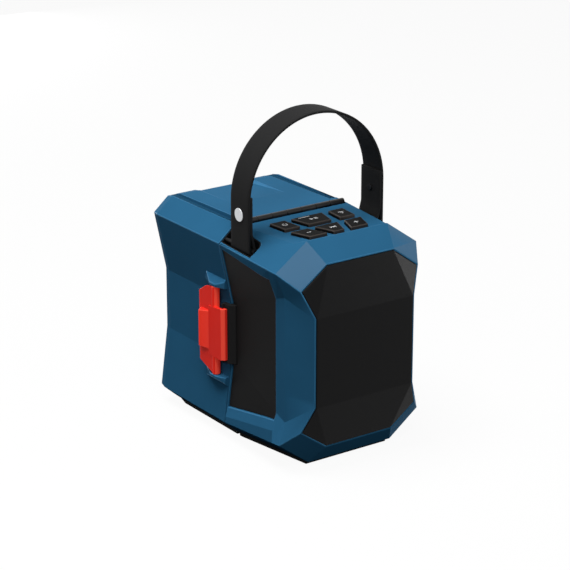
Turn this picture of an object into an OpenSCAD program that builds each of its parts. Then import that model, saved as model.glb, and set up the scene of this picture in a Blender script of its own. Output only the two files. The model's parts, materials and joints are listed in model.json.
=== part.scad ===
// Portable speaker with a faceted front, a latched rear cover and a webbing carry strap.
// X runs across the speaker, Y from front to rear, Z up from the ground.

/* [Body] */
// Width across the widest edge
body_w = 132; // [112:1:165]
// Depth from the front of the grille to the rear face
body_d = 195; // [170:1:240]
// Height of the deck above the ground, without the strap
body_h = 179.5; // [155:0.5:220]
// Depth of the front housing, from the grille to the seam
front_d = 98.5; // [92:0.5:120]
// Width across the waist of the side walls
waist_w = 111; // [98:1:125]
// Width across the lower edge at the seam
lower_w = 124; // [110:1:150]
// Width of the flat underside
belly_w = 100; // [80:1:115]
// Height of the underside above the ground
belly_z = 3.5; // [2:0.5:8]
// Drop from the deck to the widest edge
shoulder_drop = 17; // [12:0.5:24]
// Drop from the deck to the top of the waist
waist_top_drop = 66; // [50:1:80]
// Height of the bottom of the waist
waist_low_z = 64; // [45:1:75]
// Height of the lower edge at the seam
lower_z = 14; // [9:0.5:22]
// Thickness of the housing and cover walls
wall = 4; // [3:0.5:5]
// Gap between the front housing and the rear cover
seam_gap = 1; // [0.6:0.1:2]
// Thickness of the seal in the seam
seal_t = 0.7; // [0.3:0.1:0.9]
// Width of the seal
seal_w = 1.8; // [1:0.1:2.4]
// Inset of the seal from the outside of the seam
seal_inset = 1.2; // [0.6:0.1:1.6]

/* [Fits] */
// Clearance of pins in their holes and of pieces in their seats
fit = 0.05; // [0.02:0.01:0.1]
// Gap beside pieces that move past each other
running_gap = 0.3; // [0.2:0.1:0.5]

/* [Front face] */
// Width of the brow edge above the grille
brow_w = 75; // [60:1:90]
// Set-back of the brow edge from the front of the grille
brow_back = 24; // [18:0.5:32]
// Drop from the deck to the widest edge at the front
front_shoulder_drop = 20; // [14:0.5:28]
// Width across the front of the waist
front_waist_w = 114.6; // [100:0.2:128]
// Drop from the deck to the top of the front waist
front_waist_drop = 40.5; // [32:0.5:50]
// Height of the bottom of the front waist
front_waist_z = 39; // [32:0.5:50]
// Width across the lower edge at the front
front_lower_w = 132; // [112:1:150]
// Height of the lower edge at the front
front_lower_z = 23.7; // [16:0.1:30]
// Width of the chin edge below the grille
chin_w = 78; // [60:1:90]
// Set-back of the chin edge from the front of the grille
chin_back = 19; // [14:0.5:26]

/* [Grille] */
// How far the middle of the grille stands ahead of its corners
grille_bulge = 7; // [0:0.5:12]
// Width of the grille opening at its top edge
grille_top_w = 62.4; // [50:0.2:80]
// Drop from the deck to the top edge of the grille
grille_top_drop = 14.3; // [10:0.1:20]
// Width of the grille opening at its upper corners
grille_corner_w = 110; // [95:1:122]
// Drop from the deck to the upper corners of the grille
grille_corner_drop = 31.5; // [26:0.5:40]
// Width of the grille opening along its straight sides
grille_side_w = 92.6; // [80:0.2:100]
// Drop from the deck to the top of the straight sides
grille_side_drop = 53; // [44:0.5:62]
// Height of the bottom of the straight sides
grille_side_z = 56; // [48:0.5:64]
// Width of the grille opening at its lower corners
grille_low_w = 109.4; // [95:0.2:122]
// Height of the lower corners of the grille
grille_low_z = 34.8; // [28:0.2:42]
// Width of the grille opening at its bottom edge
grille_base_w = 62; // [50:1:80]
// Height of the bottom edge of the grille
grille_base_z = 18; // [12:0.5:24]
// Width of the frame edge round the grille
grille_lip = 1.2; // [0.8:0.1:2]
// Depth of the seat for the grille
grille_seat = 4.4; // [3.5:0.1:6]
// Thickness of the acoustic cloth
cloth_t = 1.2; // [0.8:0.1:1.6]
// How far the cloth stands proud of the frame edge
cloth_proud = 0.6; // [0:0.1:1.2]
// Clearance behind and round the grille frame
seat_gap = 0.2; // [0.1:0.05:0.4]
// Width of the openings in the grille frame
vent_w = 12; // [8:0.5:16]
// Width of the bars between the openings
vent_bar = 4; // [3:0.5:6]

/* [Side panels] */
// Depth of the recess for each side panel
panel_recess = 2.6; // [2:0.1:3]
// Thickness of each side panel
panel_t = 1.5; // [1:0.1:2]
// Gap round each side panel
panel_gap = 0.3; // [0.2:0.1:0.6]
// Width of the frame strip between the panel and the seam
panel_rear_strip = 1.2; // [1:0.1:6]
// Width of the frame strip between the panel and the front edge
panel_front_strip = 12.5; // [9:0.5:18]
// Drop from the shoulder to the panel, at the seam
panel_top_drop = 4; // [3:0.5:10]
// Extra drop of the panel's top edge at the front
panel_top_fall = 8; // [4:0.5:14]
// Height of the panel's bottom edge at the seam
panel_low_z = 27.5; // [22:0.5:36]
// Extra height of the panel's bottom edge at the front
panel_low_rise = 9.5; // [4:0.5:14]

/* [Rear cover] */
// Half of the deck's width
deck_half_w = 49.5; // [47:0.5:50]
// Drop of the deck below the top of the hinge
deck_drop = 2.5; // [1:0.1:3]
// Drop from the deck to the top of the shoulder bevel
bevel_drop = 3.6; // [2:0.1:6]
// Width between the tops of the shoulder bevels
bevel_w = 101; // [92:1:110]
// How far the deck falls from the seam to the rear
deck_fall = 1.9; // [0:0.1:2.4]
// How far the shoulder edges fall from the seam to the rear
rim_fall = 0.9; // [0.8:0.1:3]
// Thickness of the rim between each channel and the shoulder
rim_t = 0.4; // [0.2:0.1:1]
// Width of the channels between the deck and the rims
channel_w = 4.6; // [2:0.2:8]
// Depth of the channels below the shoulder edge
channel_depth = 2.6; // [1:0.1:2.8]
// Distance of the channels from the seam and from the tapered rear end
channel_end = 6; // [4:0.5:12]
// Length of the tapered rear end
tail_l = 7.5; // [5:0.5:14]
// Inset of the rear face outline
tail_inset = 1.6; // [0.8:0.1:4]
// Width of the shallow finger scoop in the deck
scoop_w = 50; // [30:1:60]
// Length of the finger scoop
scoop_l = 46; // [25:1:60]
// Depth of the finger scoop at the rear
scoop_depth = 2.4; // [1:0.1:3]

/* [Hinge] */
// Diameter of the hinge knuckles
hinge_d = 5; // [4:0.2:6]
// Diameter of the hinge pin
hinge_pin_d = 2.4; // [1.6:0.1:3]
// Length of the hinge
hinge_l = 96; // [80:1:99]
// Distance of the hinge pin ahead of the seam
hinge_ahead = 4; // [3.5:0.1:6]
// Number of knuckles
hinge_n = 7; // [3:2:11]
// Thickness of the hinge leaves
leaf_t = 1.2; // [0.8:0.1:1.6]
// Clearance round the knuckles
hinge_clear = 0.6; // [0.4:0.1:1]

/* [Latches] */
// Height of the middle of each latch
latch_z = 87.4; // [80:0.2:92]
// Height of the latch body
latch_h = 72.6; // [60:0.2:76]
// Height of the raised plate
latch_plate_h = 42.6; // [32:0.2:48]
// How far the top of the raised plate falls to the rear
plate_top_fall = 2; // [0:0.5:4]
// Distance of the latch pin behind the seam
latch_pin_back = 12; // [11:0.5:14]
// Diameter of the latch barrel
latch_barrel_d = 6.4; // [5.6:0.2:7]
// Diameter of the latch pin
latch_pin_d = 3; // [2:0.1:3.4]
// Reach of the hook ahead of the seam
hook_reach = 1; // [0:0.1:3]
// Grip of the hook behind the catch
hook_grip = 1.8; // [1.2:0.1:2]
// Thickness of the hook
hook_t = 3.6; // [3:0.1:4]
// Gap between the hook and the catch
catch_gap = 0.4; // [0.2:0.1:0.6]
// How far the catch stands out beyond the latch pin
catch_proud = 0.2; // [0:0.1:0.4]
// Height of the catch beyond the raised plate
catch_extra_h = 6; // [2:0.5:6]
// Depth of the catch's root in the housing
catch_root = 6; // [4:0.5:10]
// Thickness of the catch rib
catch_t = 3; // [2:0.1:3.4]
// Thickness of the raised plate
plate_t = 3; // [2:0.1:3]
// Chamfer along the front edge of the raised plate
plate_chamfer = 2.2; // [0.6:0.1:2.4]
// Reach of the raised plate behind the pin
plate_reach = 5.5; // [4.5:0.5:8]
// Distance of the web outside the latch pin's axis
web_out = 0.6; // [0.2:0.1:1]
// Thickness of the web between the barrel and the plate
web_t = 2; // [1.6:0.1:2.4]
// Reach of the web behind the raised plate
web_reach = 14; // [10:0.5:16]
// Rise of the slanted lower edge of the web
web_slant_h = 7.2; // [4:0.2:14]
// Fall of the web's upper edge to the rear
web_top_fall = 2.5; // [0:0.5:5]
// Height of the cut upper corner of the web
web_corner_h = 5.7; // [2:0.1:8]
// Length of the cut upper corner of the web
web_corner_l = 8.5; // [4:0.5:10]
// Height of the flared tail
tail_h = 33.5; // [24:0.5:40]
// Length of the flared tail
tail_flare_l = 11; // [8:0.5:13]
// How far the tail flares out
tail_flare = 2.4; // [1:0.1:3]
// Chamfer at the top of the flared tail
tail_chamfer = 4; // [1:0.5:6]
// Gap between moving latch parts
latch_gap = 0.4; // [0.3:0.1:1]
// Height of the ears above and below each latch, at the wall
ear_h = 8; // [6:0.5:12]
// Height of the lip of the ears
ear_lip = 2.5; // [2:0.1:4]
// Reach of the ears behind the latch pin
ear_reach = 25; // [18:0.5:30]
// Half of the length of the ears' straight lip
ear_flat = 4; // [3:0.5:6]
// Cut-back of the ears' lip at the seam
ear_cut = 3.5; // [0:0.5:4]
// Wall of the ears outside the latch pin
ear_wall = 1.6; // [1.4:0.1:2.4]
// Depth of the latch pins in the ears
pin_in = 3; // [2:0.5:3]

/* [Strap] */
// Width of the webbing
strap_w = 24; // [18:0.5:30]
// Thickness of the webbing
strap_t = 2; // [1.4:0.1:2.6]
// Distance of the strap's outer faces from the widest edges
strap_inset = 2.8; // [2:0.1:6]
// Length of the straight strap legs above the anchor pins
strap_leg_l = 35.8; // [33:0.1:60]
// Distance of the middle of the strap ahead of the seam
strap_ahead = 24; // [19:0.5:30]
// Height of the anchor pins above the widest edge
strap_pin_rise = 2.5; // [1.5:0.5:4]
// Diameter of the anchor pins
strap_pin_d = 3.2; // [2.6:0.1:4]
// Height of the folded-back layer above the anchor pins
fold_l = 42; // [34:1:60]
// Height above the anchor pins at which the two layers meet
fold_meet = 13; // [10:0.5:18]
// Height of the snaps above the anchor pins
snap_rise = 26.5; // [20:0.5:32]
// Diameter of the snap caps
snap_d = 10.5; // [7:0.5:14]
// Diameter of the snaps' inner rings
snap_back_d = 5; // [4.5:0.5:10]
// Thickness of the snap caps
snap_t = 1; // [0.6:0.1:2]
// Diameter of the snap shanks
snap_shank_d = 4; // [2:0.5:6]
// Depth of the pocket below the anchor pins
pocket_below = 5.4; // [5:0.1:7]
// Gap between the strap's outer face and the anchor cup
pocket_rim = 0.2; // [0.1:0.1:0.6]
// Width of each pocket across the shoulder
pocket_w = 12.4; // [11.4:0.2:16]
// Gap between the strap's front edge and the anchor cup
strap_end_gap = 2.2; // [1:0.1:6]
// Radius of the inner front corner of each pocket
pocket_r = 5; // [2:0.5:8]
// Wall of the anchor cups
cup_t = 0.8; // [0.6:0.1:1.2]
// Drop of the cup rims below the shoulder
cup_drop = 0.5; // [0.2:0.1:1]

/* [Keys] */
// Height of the keys above the control panel
key_proud = 2.6; // [1:0.1:3.2]
// Travel of the keys
key_travel = 0.8; // [0.4:0.1:1.2]
// Gap round the keys
key_gap = 0.4; // [0.2:0.1:0.6]
// Gap between the front keys and the baffle
key_baffle_gap = 0.6; // [0.4:0.1:2]
// Depth of the front row of keys
key_front_d = 17.4; // [12:0.2:19]
// Depth of the rear row of keys
key_rear_d = 18.5; // [12:0.5:19]
// Distance between the rows of keys
key_row_gap = 7; // [4:0.5:9]
// Width of the front middle key at its front edge
front_key_w = 9.4; // [6:0.2:14]
// Width of the front middle key at its rear edge
front_key_rear_w = 21.6; // [16:0.2:26]
// Space between the front keys
front_key_between = 6.2; // [4:0.1:8]
// Width of the front side keys
front_side_key_w = 16; // [12:0.5:18]
// Width of the rear middle key at its front edge
rear_key_w = 21; // [16:0.5:26]
// Width of the rear middle key at its rear edge
rear_key_rear_w = 29.2; // [22:0.2:32]
// Space between the rear keys at their front edges
rear_key_between = 8.2; // [5:0.1:10]
// Space between the rear keys at their rear edges
rear_key_rear_between = 5.8; // [4:0.1:8]
// Width of the rear side keys
rear_side_key_w = 14; // [10:0.5:16]
// Diameter of the key stems
stem_d = 4; // [3:0.5:5]
// Length of the key stems below their flanges
stem_l = 3; // [2:0.5:5]
// Thickness of the key flanges
flange_t = 1; // [0.6:0.1:1.6]
// Reach of the key flanges under the control panel
flange_reach = 1; // [0.6:0.1:1.2]
// Height of the switches
switch_h = 2; // [1.6:0.1:3]
// Width of the switches
switch_w = 6; // [4:0.5:7]
// Height of the switch plungers
plunger_h = 0.8; // [0.4:0.1:1.2]
// Diameter of the switch plungers
plunger_d = 3; // [2:0.5:4]
// Margin of the key board outside the rear keys
key_board_margin = 6; // [5.5:0.5:9]
// Diameter of the posts that carry the key board
key_post_d = 5; // [3:0.5:6]
// Length of the status light
light_l = 12; // [6:1:20]
// Width of the status light
light_w = 1.4; // [1:0.1:2]
// Distance of the status light behind the keys
light_back = 2; // [1.4:0.1:3]
// How far the status light stands above the control panel
light_proud = 0.3; // [0:0.1:0.6]

/* [Driver] */
// Height of the driver's axis
driver_z = 92; // [86:0.5:98]
// Diameter of the driver flange
driver_d = 84; // [70:1:88]
// Diameter of the hole in the baffle
driver_hole_d = 74; // [60:1:76]
// Depth of the basket behind the baffle
basket_d = 24; // [18:1:30]
// Diameter of the magnet
magnet_d = 58; // [40:1:64]
// Thickness of the magnet
magnet_t = 15; // [8:1:20]
// Diameter of the cone
cone_d = 60; // [48:1:62]
// Diameter of the voice coil
coil_d = 25; // [18:1:30]
// Travel of the cone each way
cone_travel = 2; // [1:0.5:3]
// Wall of the basket
basket_wall = 1.6; // [1:0.1:2.4]
// Thickness of the basket flange
driver_flange_t = 3; // [2:0.5:4]
// Clearance of the basket in the baffle
basket_gap = 0.5; // [0.2:0.1:1]
// Width of the roll round the cone
roll_w = 4; // [3:0.2:4.6]
// Thickness of the roll
roll_t = 0.7; // [0.5:0.1:1]
// Thickness of the cone
cone_t = 1; // [0.6:0.1:1.4]
// Clearance of the voice coil in the magnet
coil_gap = 1; // [0.6:0.1:1.4]
// Thickness of the magnet's rear plate
magnet_plate_t = 4; // [3:0.5:6]
// Height of the dust cap
dust_cap_h = 4; // [2:0.5:6]
// Thickness of the baffle
baffle_t = 4; // [3:0.5:6]
// Gap round the baffle and the bulkhead
plate_gap = 0.3; // [0.2:0.1:0.6]

/* [Electronics and battery] */
// Thickness of the circuit boards
board_t = 1.6; // [1:0.2:2]
// Width of the main board
board_w = 80; // [60:1:88]
// Height of the main board
board_h = 42; // [30:1:50]
// Width of the amplifier chip
chip_w = 14; // [8:1:16]
// Thickness of the amplifier chip
chip_t = 1.5; // [1:0.1:3]
// Diameter of the capacitors
capacitor_d = 10; // [6:0.5:12]
// Length of the capacitors
capacitor_l = 12; // [8:0.5:16]
// Width of the boxed coil
coil_box_w = 12; // [8:0.5:16]
// Thickness of the boxed coil
coil_box_t = 8; // [5:0.5:10]
// Distance of the main board from the bulkhead
board_standoff = 4.4; // [3:0.2:8]
// Diameter of the posts behind the main board
board_post_d = 6; // [4:0.5:8]
// Inset of the posts from the board's edges
board_post_inset = 5; // [4:0.5:8]
// Thickness of the bulkhead
bulkhead_t = 3; // [2:0.5:4]
// Distance of the bulkhead's rear face ahead of the seam
bulkhead_back = 2; // [1.5:0.5:4]
// Width of the battery pack
pack_w = 72; // [56:1:78]
// Depth of the battery pack
pack_d = 58; // [45:1:62]
// Height of the battery pack
pack_h = 72; // [56:1:76]
// Height of the underside of the battery pack
pack_z = 62; // [52:1:66]
// Width of the battery rail
rail_w = 44; // [34:1:52]
// Depth of the battery rail
rail_d = 9; // [7:0.5:12]
// Reach of the rail flanges
rail_flange = 4; // [3:0.5:6]
// Thickness of the rail flanges
rail_flange_t = 4; // [3:0.5:5]
// Distance of the rail ends from the ends of the pack
rail_end = 8; // [5:0.5:12]
// Wall of the pack round the rail
pack_wall = 6; // [4:0.5:8]
// Depth of the pack's flanks beside the rail
flank_d = 8; // [7:0.5:8.5]
// Number of contacts
contact_n = 4; // [2:1:5]
// Space between the contacts
contact_pitch = 8; // [5:0.5:8]
// Thickness of the contacts
contact_t = 1; // [0.6:0.2:1.6]
// Depth of the contacts in the rail
contact_d = 3; // [2:0.5:3.5]
// Length of the contacts
contact_l = 16; // [10:1:24]
// Clearance of the battery on its rail
rail_gap = 0.4; // [0.3:0.1:0.8]

/* [Feet and fasteners] */
// Width of the band of each foot
foot_band = 14; // [8:0.5:18]
// Inset of the feet from the edges of the underside
foot_inset = 0.8; // [0.4:0.1:4]
// Distance of the feet from the seam and from the chin edge
foot_end = 4; // [2:0.5:10]
// Distance of the rear foot ahead of the tapered rear end
rear_foot_ahead = 12; // [6:0.5:30]
// Recess of the feet in the underside
foot_recess = 1; // [0.5:0.1:1.5]
// Diameter of the screw heads
screw_head_d = 6; // [4:0.5:7]
// Height of the screw heads
screw_head_h = 1.6; // [1:0.1:2.4]
// Diameter of the screw shanks
screw_d = 3; // [2:0.5:4]
// Distance of the screws from the waist wall
screw_inset = 5; // [4:0.5:6]
// Distance of the lowest and highest screws from the lower and widest edges
screw_end = 14; // [11:0.5:18]
// Length of the screw shanks
screw_l = 8; // [6:0.5:12]
// Diameter of the screw bosses
boss_d = 8; // [6:0.5:10]
// Length of the screw bosses
boss_l = 8; // [6:0.5:14]

/* [Hidden] */
$fn = 48;
blue = "#2a658f";
black = "#1e1e1f";
red = "#c02824";
steel = "#b8bcc0";

hw = body_w / 2;
front_y = -body_d / 2;
rear_y = body_d / 2;
seam_y = front_y + front_d;
cover_y = seam_y + seam_gap;
panel_z = body_h - bevel_drop;
brow_y = front_y + brow_back;
shoulder_z = body_h - shoulder_drop;
over = 1;

// Each ring holds the right half of a cross-section, from the top edge down to the underside
seam_half = [
    [bevel_w / 2, panel_z],
    [hw, shoulder_z],
    [waist_w / 2, body_h - waist_top_drop],
    [waist_w / 2, waist_low_z],
    [lower_w / 2, lower_z],
    [belly_w / 2, belly_z]];
brow_half = [
    [brow_w / 2, body_h],
    [hw, body_h - front_shoulder_drop],
    [front_waist_w / 2, body_h - front_waist_drop],
    [front_waist_w / 2, front_waist_z],
    [front_lower_w / 2, front_lower_z],
    [chin_w / 2, belly_z]];
grille_half = [
    [grille_top_w / 2, body_h - grille_top_drop],
    [grille_corner_w / 2, body_h - grille_corner_drop],
    [grille_side_w / 2, body_h - grille_side_drop],
    [grille_side_w / 2, grille_side_z],
    [grille_low_w / 2, grille_low_z],
    [grille_base_w / 2, grille_base_z]];
grille_set_back = [1, 1, 0, 0, 1, 1];
chin_lead = brow_back - chin_back;

function at_y(half, y) = [for (p = half) [p[0], y, p[1]]];
function mix(a, b, t) = a + (b - a) * t;

seam_ring = at_y(seam_half, seam_y);
brow_ring = [for (i = [0:5]) [brow_half[i][0], i < 4 ? brow_y : brow_y - chin_lead, brow_half[i][1]]];
grille_ring = [for (i = [0:5])
    [grille_half[i][0], front_y + cloth_proud + grille_bulge * grille_set_back[i], grille_half[i][1]]];
// The control panel ends ahead of the brow, where the shoulder bevel still lies in its plane
baffle_y = brow_y + wall;
front_row_y = baffle_y + baffle_t + key_baffle_gap + key_gap + flange_reach;
panel_end_y = front_row_y;
panel_end_t = (panel_end_y - brow_y) / (seam_y - brow_y);
panel_end_mix = [for (i = [0:5]) mix(brow_ring[i], seam_ring[i], panel_end_t)];
brow_slope = (brow_half[0][1] - brow_half[1][1]) / (brow_half[1][0] - brow_half[0][0]);
panel_end_x = panel_end_mix[1][0] - (panel_z - panel_end_mix[1][2]) / brow_slope;
panel_end_ring = concat(
    [[panel_end_x, panel_end_mix[0][1], panel_z]],
    [for (i = [1:5]) panel_end_mix[i]]);
front_rings = [grille_ring, brow_ring, panel_end_ring, seam_ring];

tail_y = rear_y - tail_l;
rim_rear = [bevel_w / 2 + rim_fall, panel_z - rim_fall];
tail_half = concat([rim_rear], [for (i = [1:5]) seam_half[i]]);
cover_rings = [
    at_y(seam_half, cover_y),
    at_y(tail_half, tail_y),
    inset(at_y(tail_half, rear_y), tail_inset)];

// Insets a ring by d in the plane across the speaker
function outward(a, b) = [-(b[2] - a[2]), 0, b[0] - a[0]] / norm([b[0] - a[0], b[2] - a[2]]);
function mirrored(p) = [-p[0], p[1], p[2]];
function inset_point(a, p, b, d) =
    let (m = outward(a, p), n = outward(p, b))
    p - d * (m + n) / (1 + m * n);
function inset(ring, d) = [for (i = [0:5]) inset_point(
    i == 0 ? mirrored(ring[0]) : ring[i - 1],
    ring[i],
    i == 5 ? mirrored(ring[5]) : ring[i + 1], d)];
function shift_y(ring, dy) = [for (p = ring) p + [0, dy, 0]];
function to_y(ring, y) = [for (p = ring) [p[0], y, p[2]]];

cavity_rings = [
    shift_y(inset(grille_ring, grille_lip + wall), grille_seat - cloth_proud - over / 2),
    shift_y(inset(brow_ring, wall), wall),
    inset(panel_end_ring, wall),
    to_y(inset(seam_ring, wall), seam_y + over)];

hinge_y = seam_y - hinge_ahead;
hinge_z = body_h - hinge_d / 2;
trough_front_y = hinge_y - hinge_d / 2 - hinge_clear;
trough_z = hinge_z - hinge_d / 2 - hinge_clear;
leaf_z = trough_z - leaf_t;
leaf_low_z = panel_z - wall;
knuckle_l = hinge_l / hinge_n;

// Distance of the cover's side wall from the middle at a height
waist_top_z = body_h - waist_top_drop;
upper_flare = (hw - waist_w / 2) / (shoulder_z - waist_top_z);
lower_flare = (lower_w - waist_w) / 2 / (waist_low_z - lower_z);
function wall_x(z) = waist_w / 2
    + max(0, z - waist_top_z) * upper_flare
    + max(0, waist_low_z - z) * lower_flare;

latch_low_z = latch_z - latch_h / 2;
latch_top_z = latch_z + latch_h / 2;
latch_x = max(wall_x(latch_low_z), wall_x(latch_top_z)) + latch_barrel_d / 2 + latch_gap;
latch_y = cover_y + latch_pin_back;
latch_face_x = latch_x + latch_barrel_d / 2;
hook_y = seam_y - hook_reach;
plate_end_y = latch_y + plate_reach;
catch_out = latch_x + catch_proud;
hook_in = catch_out - hook_grip;
catch_h = latch_plate_h + catch_extra_h;
ear_top_z = latch_top_z + latch_gap;
ear_low_z = latch_low_z - latch_gap;
pin_top_z = ear_top_z + pin_in;
pin_low_z = ear_low_z - pin_in;

strap_y = seam_y - strap_ahead;
strap_out = hw - strap_inset;
strap_pin_x = strap_out - strap_t - strap_pin_d / 2 - fit;
strap_pin_z = shoulder_z + strap_pin_rise;
arch_r = strap_out;
arch_z = strap_pin_z + strap_leg_l;
pocket_out = strap_out + pocket_rim + cup_t;
pocket_in = pocket_out - pocket_w;
pocket_l = strap_ahead + strap_w / 2 + strap_end_gap + cup_t;
pocket_z = strap_pin_z - pocket_below;
snap_z = strap_pin_z + snap_rise;

key_top_z = panel_z + key_proud;
key_under_z = panel_z - wall;
rear_row_y = front_row_y + key_front_d + key_row_gap;
switch_z = key_under_z - running_gap - flange_t - stem_l - key_travel - running_gap;
key_board_z = switch_z - switch_h - board_t;

bulkhead_y = seam_y - bulkhead_back - bulkhead_t;
rail_y = seam_y - bulkhead_back;
pack_y = rail_y + rail_d;
light_y = rear_row_y + key_rear_d + light_back;
board_y = bulkhead_y - board_standoff - board_t;
board_z = driver_z - board_h / 2;

deck_top_z = body_h - deck_drop;
deck_slope = deck_fall / (tail_y - cover_y);
deck_rear_z = deck_top_z - deck_fall;
chin_y = brow_y - chin_lead;
screw_x = waist_w / 2 - wall - screw_inset;
screw_zs = [lower_z + screw_end, waist_low_z, body_h - waist_top_drop, shoulder_z - screw_end];
screw_spots = [for (x = [-screw_x, screw_x], z = screw_zs) [x, z]];

side_window = [
    [seam_y - panel_rear_strip, shoulder_z - panel_top_drop],
    [brow_y + panel_front_strip, shoulder_z - panel_top_drop - panel_top_fall],
    [brow_y + panel_front_strip, panel_low_z + panel_low_rise],
    [seam_y - panel_rear_strip, panel_low_z]];

// Solid through rings given from front to rear
module loft(rings) {
    full = [for (r = rings) concat(r, [for (i = [5:-1:0]) mirrored(r[i])])];
    points = [for (r = full) each r];
    last = 12 * (len(rings) - 1);
    cap = [[11, 0, 2], [11, 2, 9], [0, 1, 2], [9, 10, 11], [9, 2, 3], [9, 3, 8],
        [8, 3, 5], [8, 5, 6], [3, 4, 5], [6, 7, 8]];
    sides = [for (k = [0:len(rings) - 2], i = [0:11])
        let (a = 12 * k + i, b = 12 * k + (i + 1) % 12)
        each i < 6 ? [[a, a + 12, b + 12], [a, b + 12, b]] : [[a, a + 12, b], [b, a + 12, b + 12]]];
    polyhedron(points, concat(cap, sides, [for (f = cap) [for (j = [2:-1:0]) f[j] + last]]), convexity = 8);
}

// Flat outline of a ring, for plates and seals across the speaker
module ring_outline(ring) {
    polygon(concat([for (p = ring) [p[0], p[2]]], [for (i = [5:-1:0]) [-ring[i][0], ring[i][2]]]));
}

module across(y0, y1) {
    translate([0, y1, 0]) rotate([90, 0, 0]) linear_extrude(y1 - y0) children();
}

module along_x(x0, x1) {
    translate([x0, 0, 0]) rotate([90, 0, 90]) linear_extrude(x1 - x0) children();
}

module box(x0, x1, y0, y1, z0, z1) {
    translate([x0, y0, z0]) cube([x1 - x0, y1 - y0, z1 - z0]);
}

module rod_y(x, z, y0, y1, d) {
    translate([x, y0, z]) rotate([-90, 0, 0]) cylinder(d = d, h = y1 - y0);
}

module rod_x(y, z, x0, x1, d) {
    translate([x0, y, z]) rotate([0, 90, 0]) cylinder(d = d, h = x1 - x0);
}

module rod_z(x, y, z0, z1, d) {
    translate([x, y, z0]) cylinder(d = d, h = z1 - z0);
}

// Pieces on the left side are drawn on the right and mirrored
module on_side(left) {
    if (left) mirror([1, 0, 0]) children();
    else children();
}

module on_both_sides() {
    children();
    mirror([1, 0, 0]) children();
}

// Outlines of the keys, grown by g
function grown(pts, g) = let (n = len(pts)) [for (i = [0:n - 1])
    let (a = pts[(i + n - 1) % n], p = pts[i], b = pts[(i + 1) % n])
    let (u = (p - a) / norm(p - a), v = (b - p) / norm(b - p))
    let (m = [u[1], -u[0]], k = [v[1], -v[0]])
    p + g * (m + k) / (1 + m * k)];
function mid_key(w0, w1, y, d) = [[-w0 / 2, y], [w0 / 2, y], [w1 / 2, y + d], [-w1 / 2, y + d]];
function side_key(x0, x1, w, y, d) = [[x0, y], [x0 + w, y], [x1 + w, y + d], [x1, y + d]];
function flipped(pts) = [for (i = [len(pts) - 1:-1:0]) [-pts[i][0], pts[i][1]]];
function centre(pts) = [for (k = [0, 1]) (pts[0][k] + pts[1][k] + pts[2][k] + pts[3][k]) / 4];
front_side_key = side_key(front_key_w / 2 + front_key_between, front_key_rear_w / 2 + front_key_between,
    front_side_key_w, front_row_y, key_front_d);
rear_side_key = side_key(rear_key_w / 2 + rear_key_between, rear_key_rear_w / 2 + rear_key_rear_between,
    rear_side_key_w, rear_row_y, key_rear_d);
key_shapes = [
    flipped(rear_side_key),
    mid_key(rear_key_w, rear_key_rear_w, rear_row_y, key_rear_d),
    rear_side_key,
    flipped(front_side_key),
    mid_key(front_key_w, front_key_rear_w, front_row_y, key_front_d),
    front_side_key];
key_board_y0 = front_row_y;
key_board_y1 = rear_row_y + key_rear_d;
key_board_hw = max([for (p = rear_side_key) p[0]]) + key_board_margin;

// Side recess between two insets of the housing surface
module side_slab(window, outer_inset, inner_inset) {
    difference() {
        intersection() {
            along_x(0, hw + wall) polygon(window);
            loft([for (r = front_rings) outer_inset == 0 ? r : inset(r, outer_inset)]);
        }
        loft([for (i = [0:3])
            shift_y(inset(front_rings[i], inner_inset), i == 3 ? over : i == 0 ? -over : 0)]);
    }
}

module pocket_shape(inset_by, z) {
    translate([0, 0, z]) linear_extrude(body_h) difference() {
        translate([pocket_in + inset_by, seam_y - pocket_l + inset_by])
            square([pocket_w - 2 * inset_by, pocket_l - 2 * inset_by]);
        translate([pocket_in + inset_by, seam_y - pocket_l + inset_by]) difference() {
            square(pocket_r);
            translate([pocket_r, pocket_r]) circle(pocket_r);
        }
    }
}

// Boss for one bulkhead screw, joined to the side wall
module screw_boss(x, z) {
    side = x < 0 ? -1 : 1;
    rod_y(x, z, bulkhead_y - boss_l, bulkhead_y, boss_d);
    box(min(x, side * hw), max(x, side * hw), bulkhead_y - boss_l, bulkhead_y,
        z - boss_d / 2, z + boss_d / 2);
}

module front_housing() {
    color(blue) difference() {
        union() {
            housing_shell();
            intersection() {
                loft([for (r = front_rings) inset(r, (panel_recess + wall) / 2)]);
                for (p = screw_spots) screw_boss(p[0], p[1]);
            }
        }
        for (p = screw_spots) rod_y(p[0], p[1], rail_y - screw_l - over, seam_y, screw_d + 2 * fit);
    }
}

module housing_shell() {
    difference() {
        loft(front_rings);
        loft([shift_y(inset(grille_ring, grille_lip), -2 * grille_bulge - over),
            shift_y(inset(grille_ring, grille_lip), grille_seat - cloth_proud)]);
        loft(cavity_rings);
        on_both_sides() {
            side_slab(side_window, 0, panel_recess);
            pocket_shape(0, pocket_z);
            catch_seat(fit);
        }
        box(-hinge_l / 2 - hinge_clear, hinge_l / 2 + hinge_clear, trough_front_y, seam_y + over,
            leaf_z, body_h + over);
        translate([0, 0, key_under_z - over]) for (shape = key_shapes)
            linear_extrude(wall + 2 * over) polygon(grown(shape, key_gap));
        light_hole(fit);
        front_foot(fit);
    }
}

module side_panel(left) {
    color(black) on_side(left) difference() {
        side_slab(grown(side_window, -panel_gap), panel_recess - panel_t, panel_recess);
        catch_seat(panel_gap);
    }
}
module side_panel_left() { side_panel(true); }
module side_panel_right() { side_panel(false); }

module grille_plate(front, back) {
    rim = grille_lip + seat_gap;
    loft([shift_y(inset(grille_ring, rim), front), shift_y(inset(grille_ring, rim), back)]);
}

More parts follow.
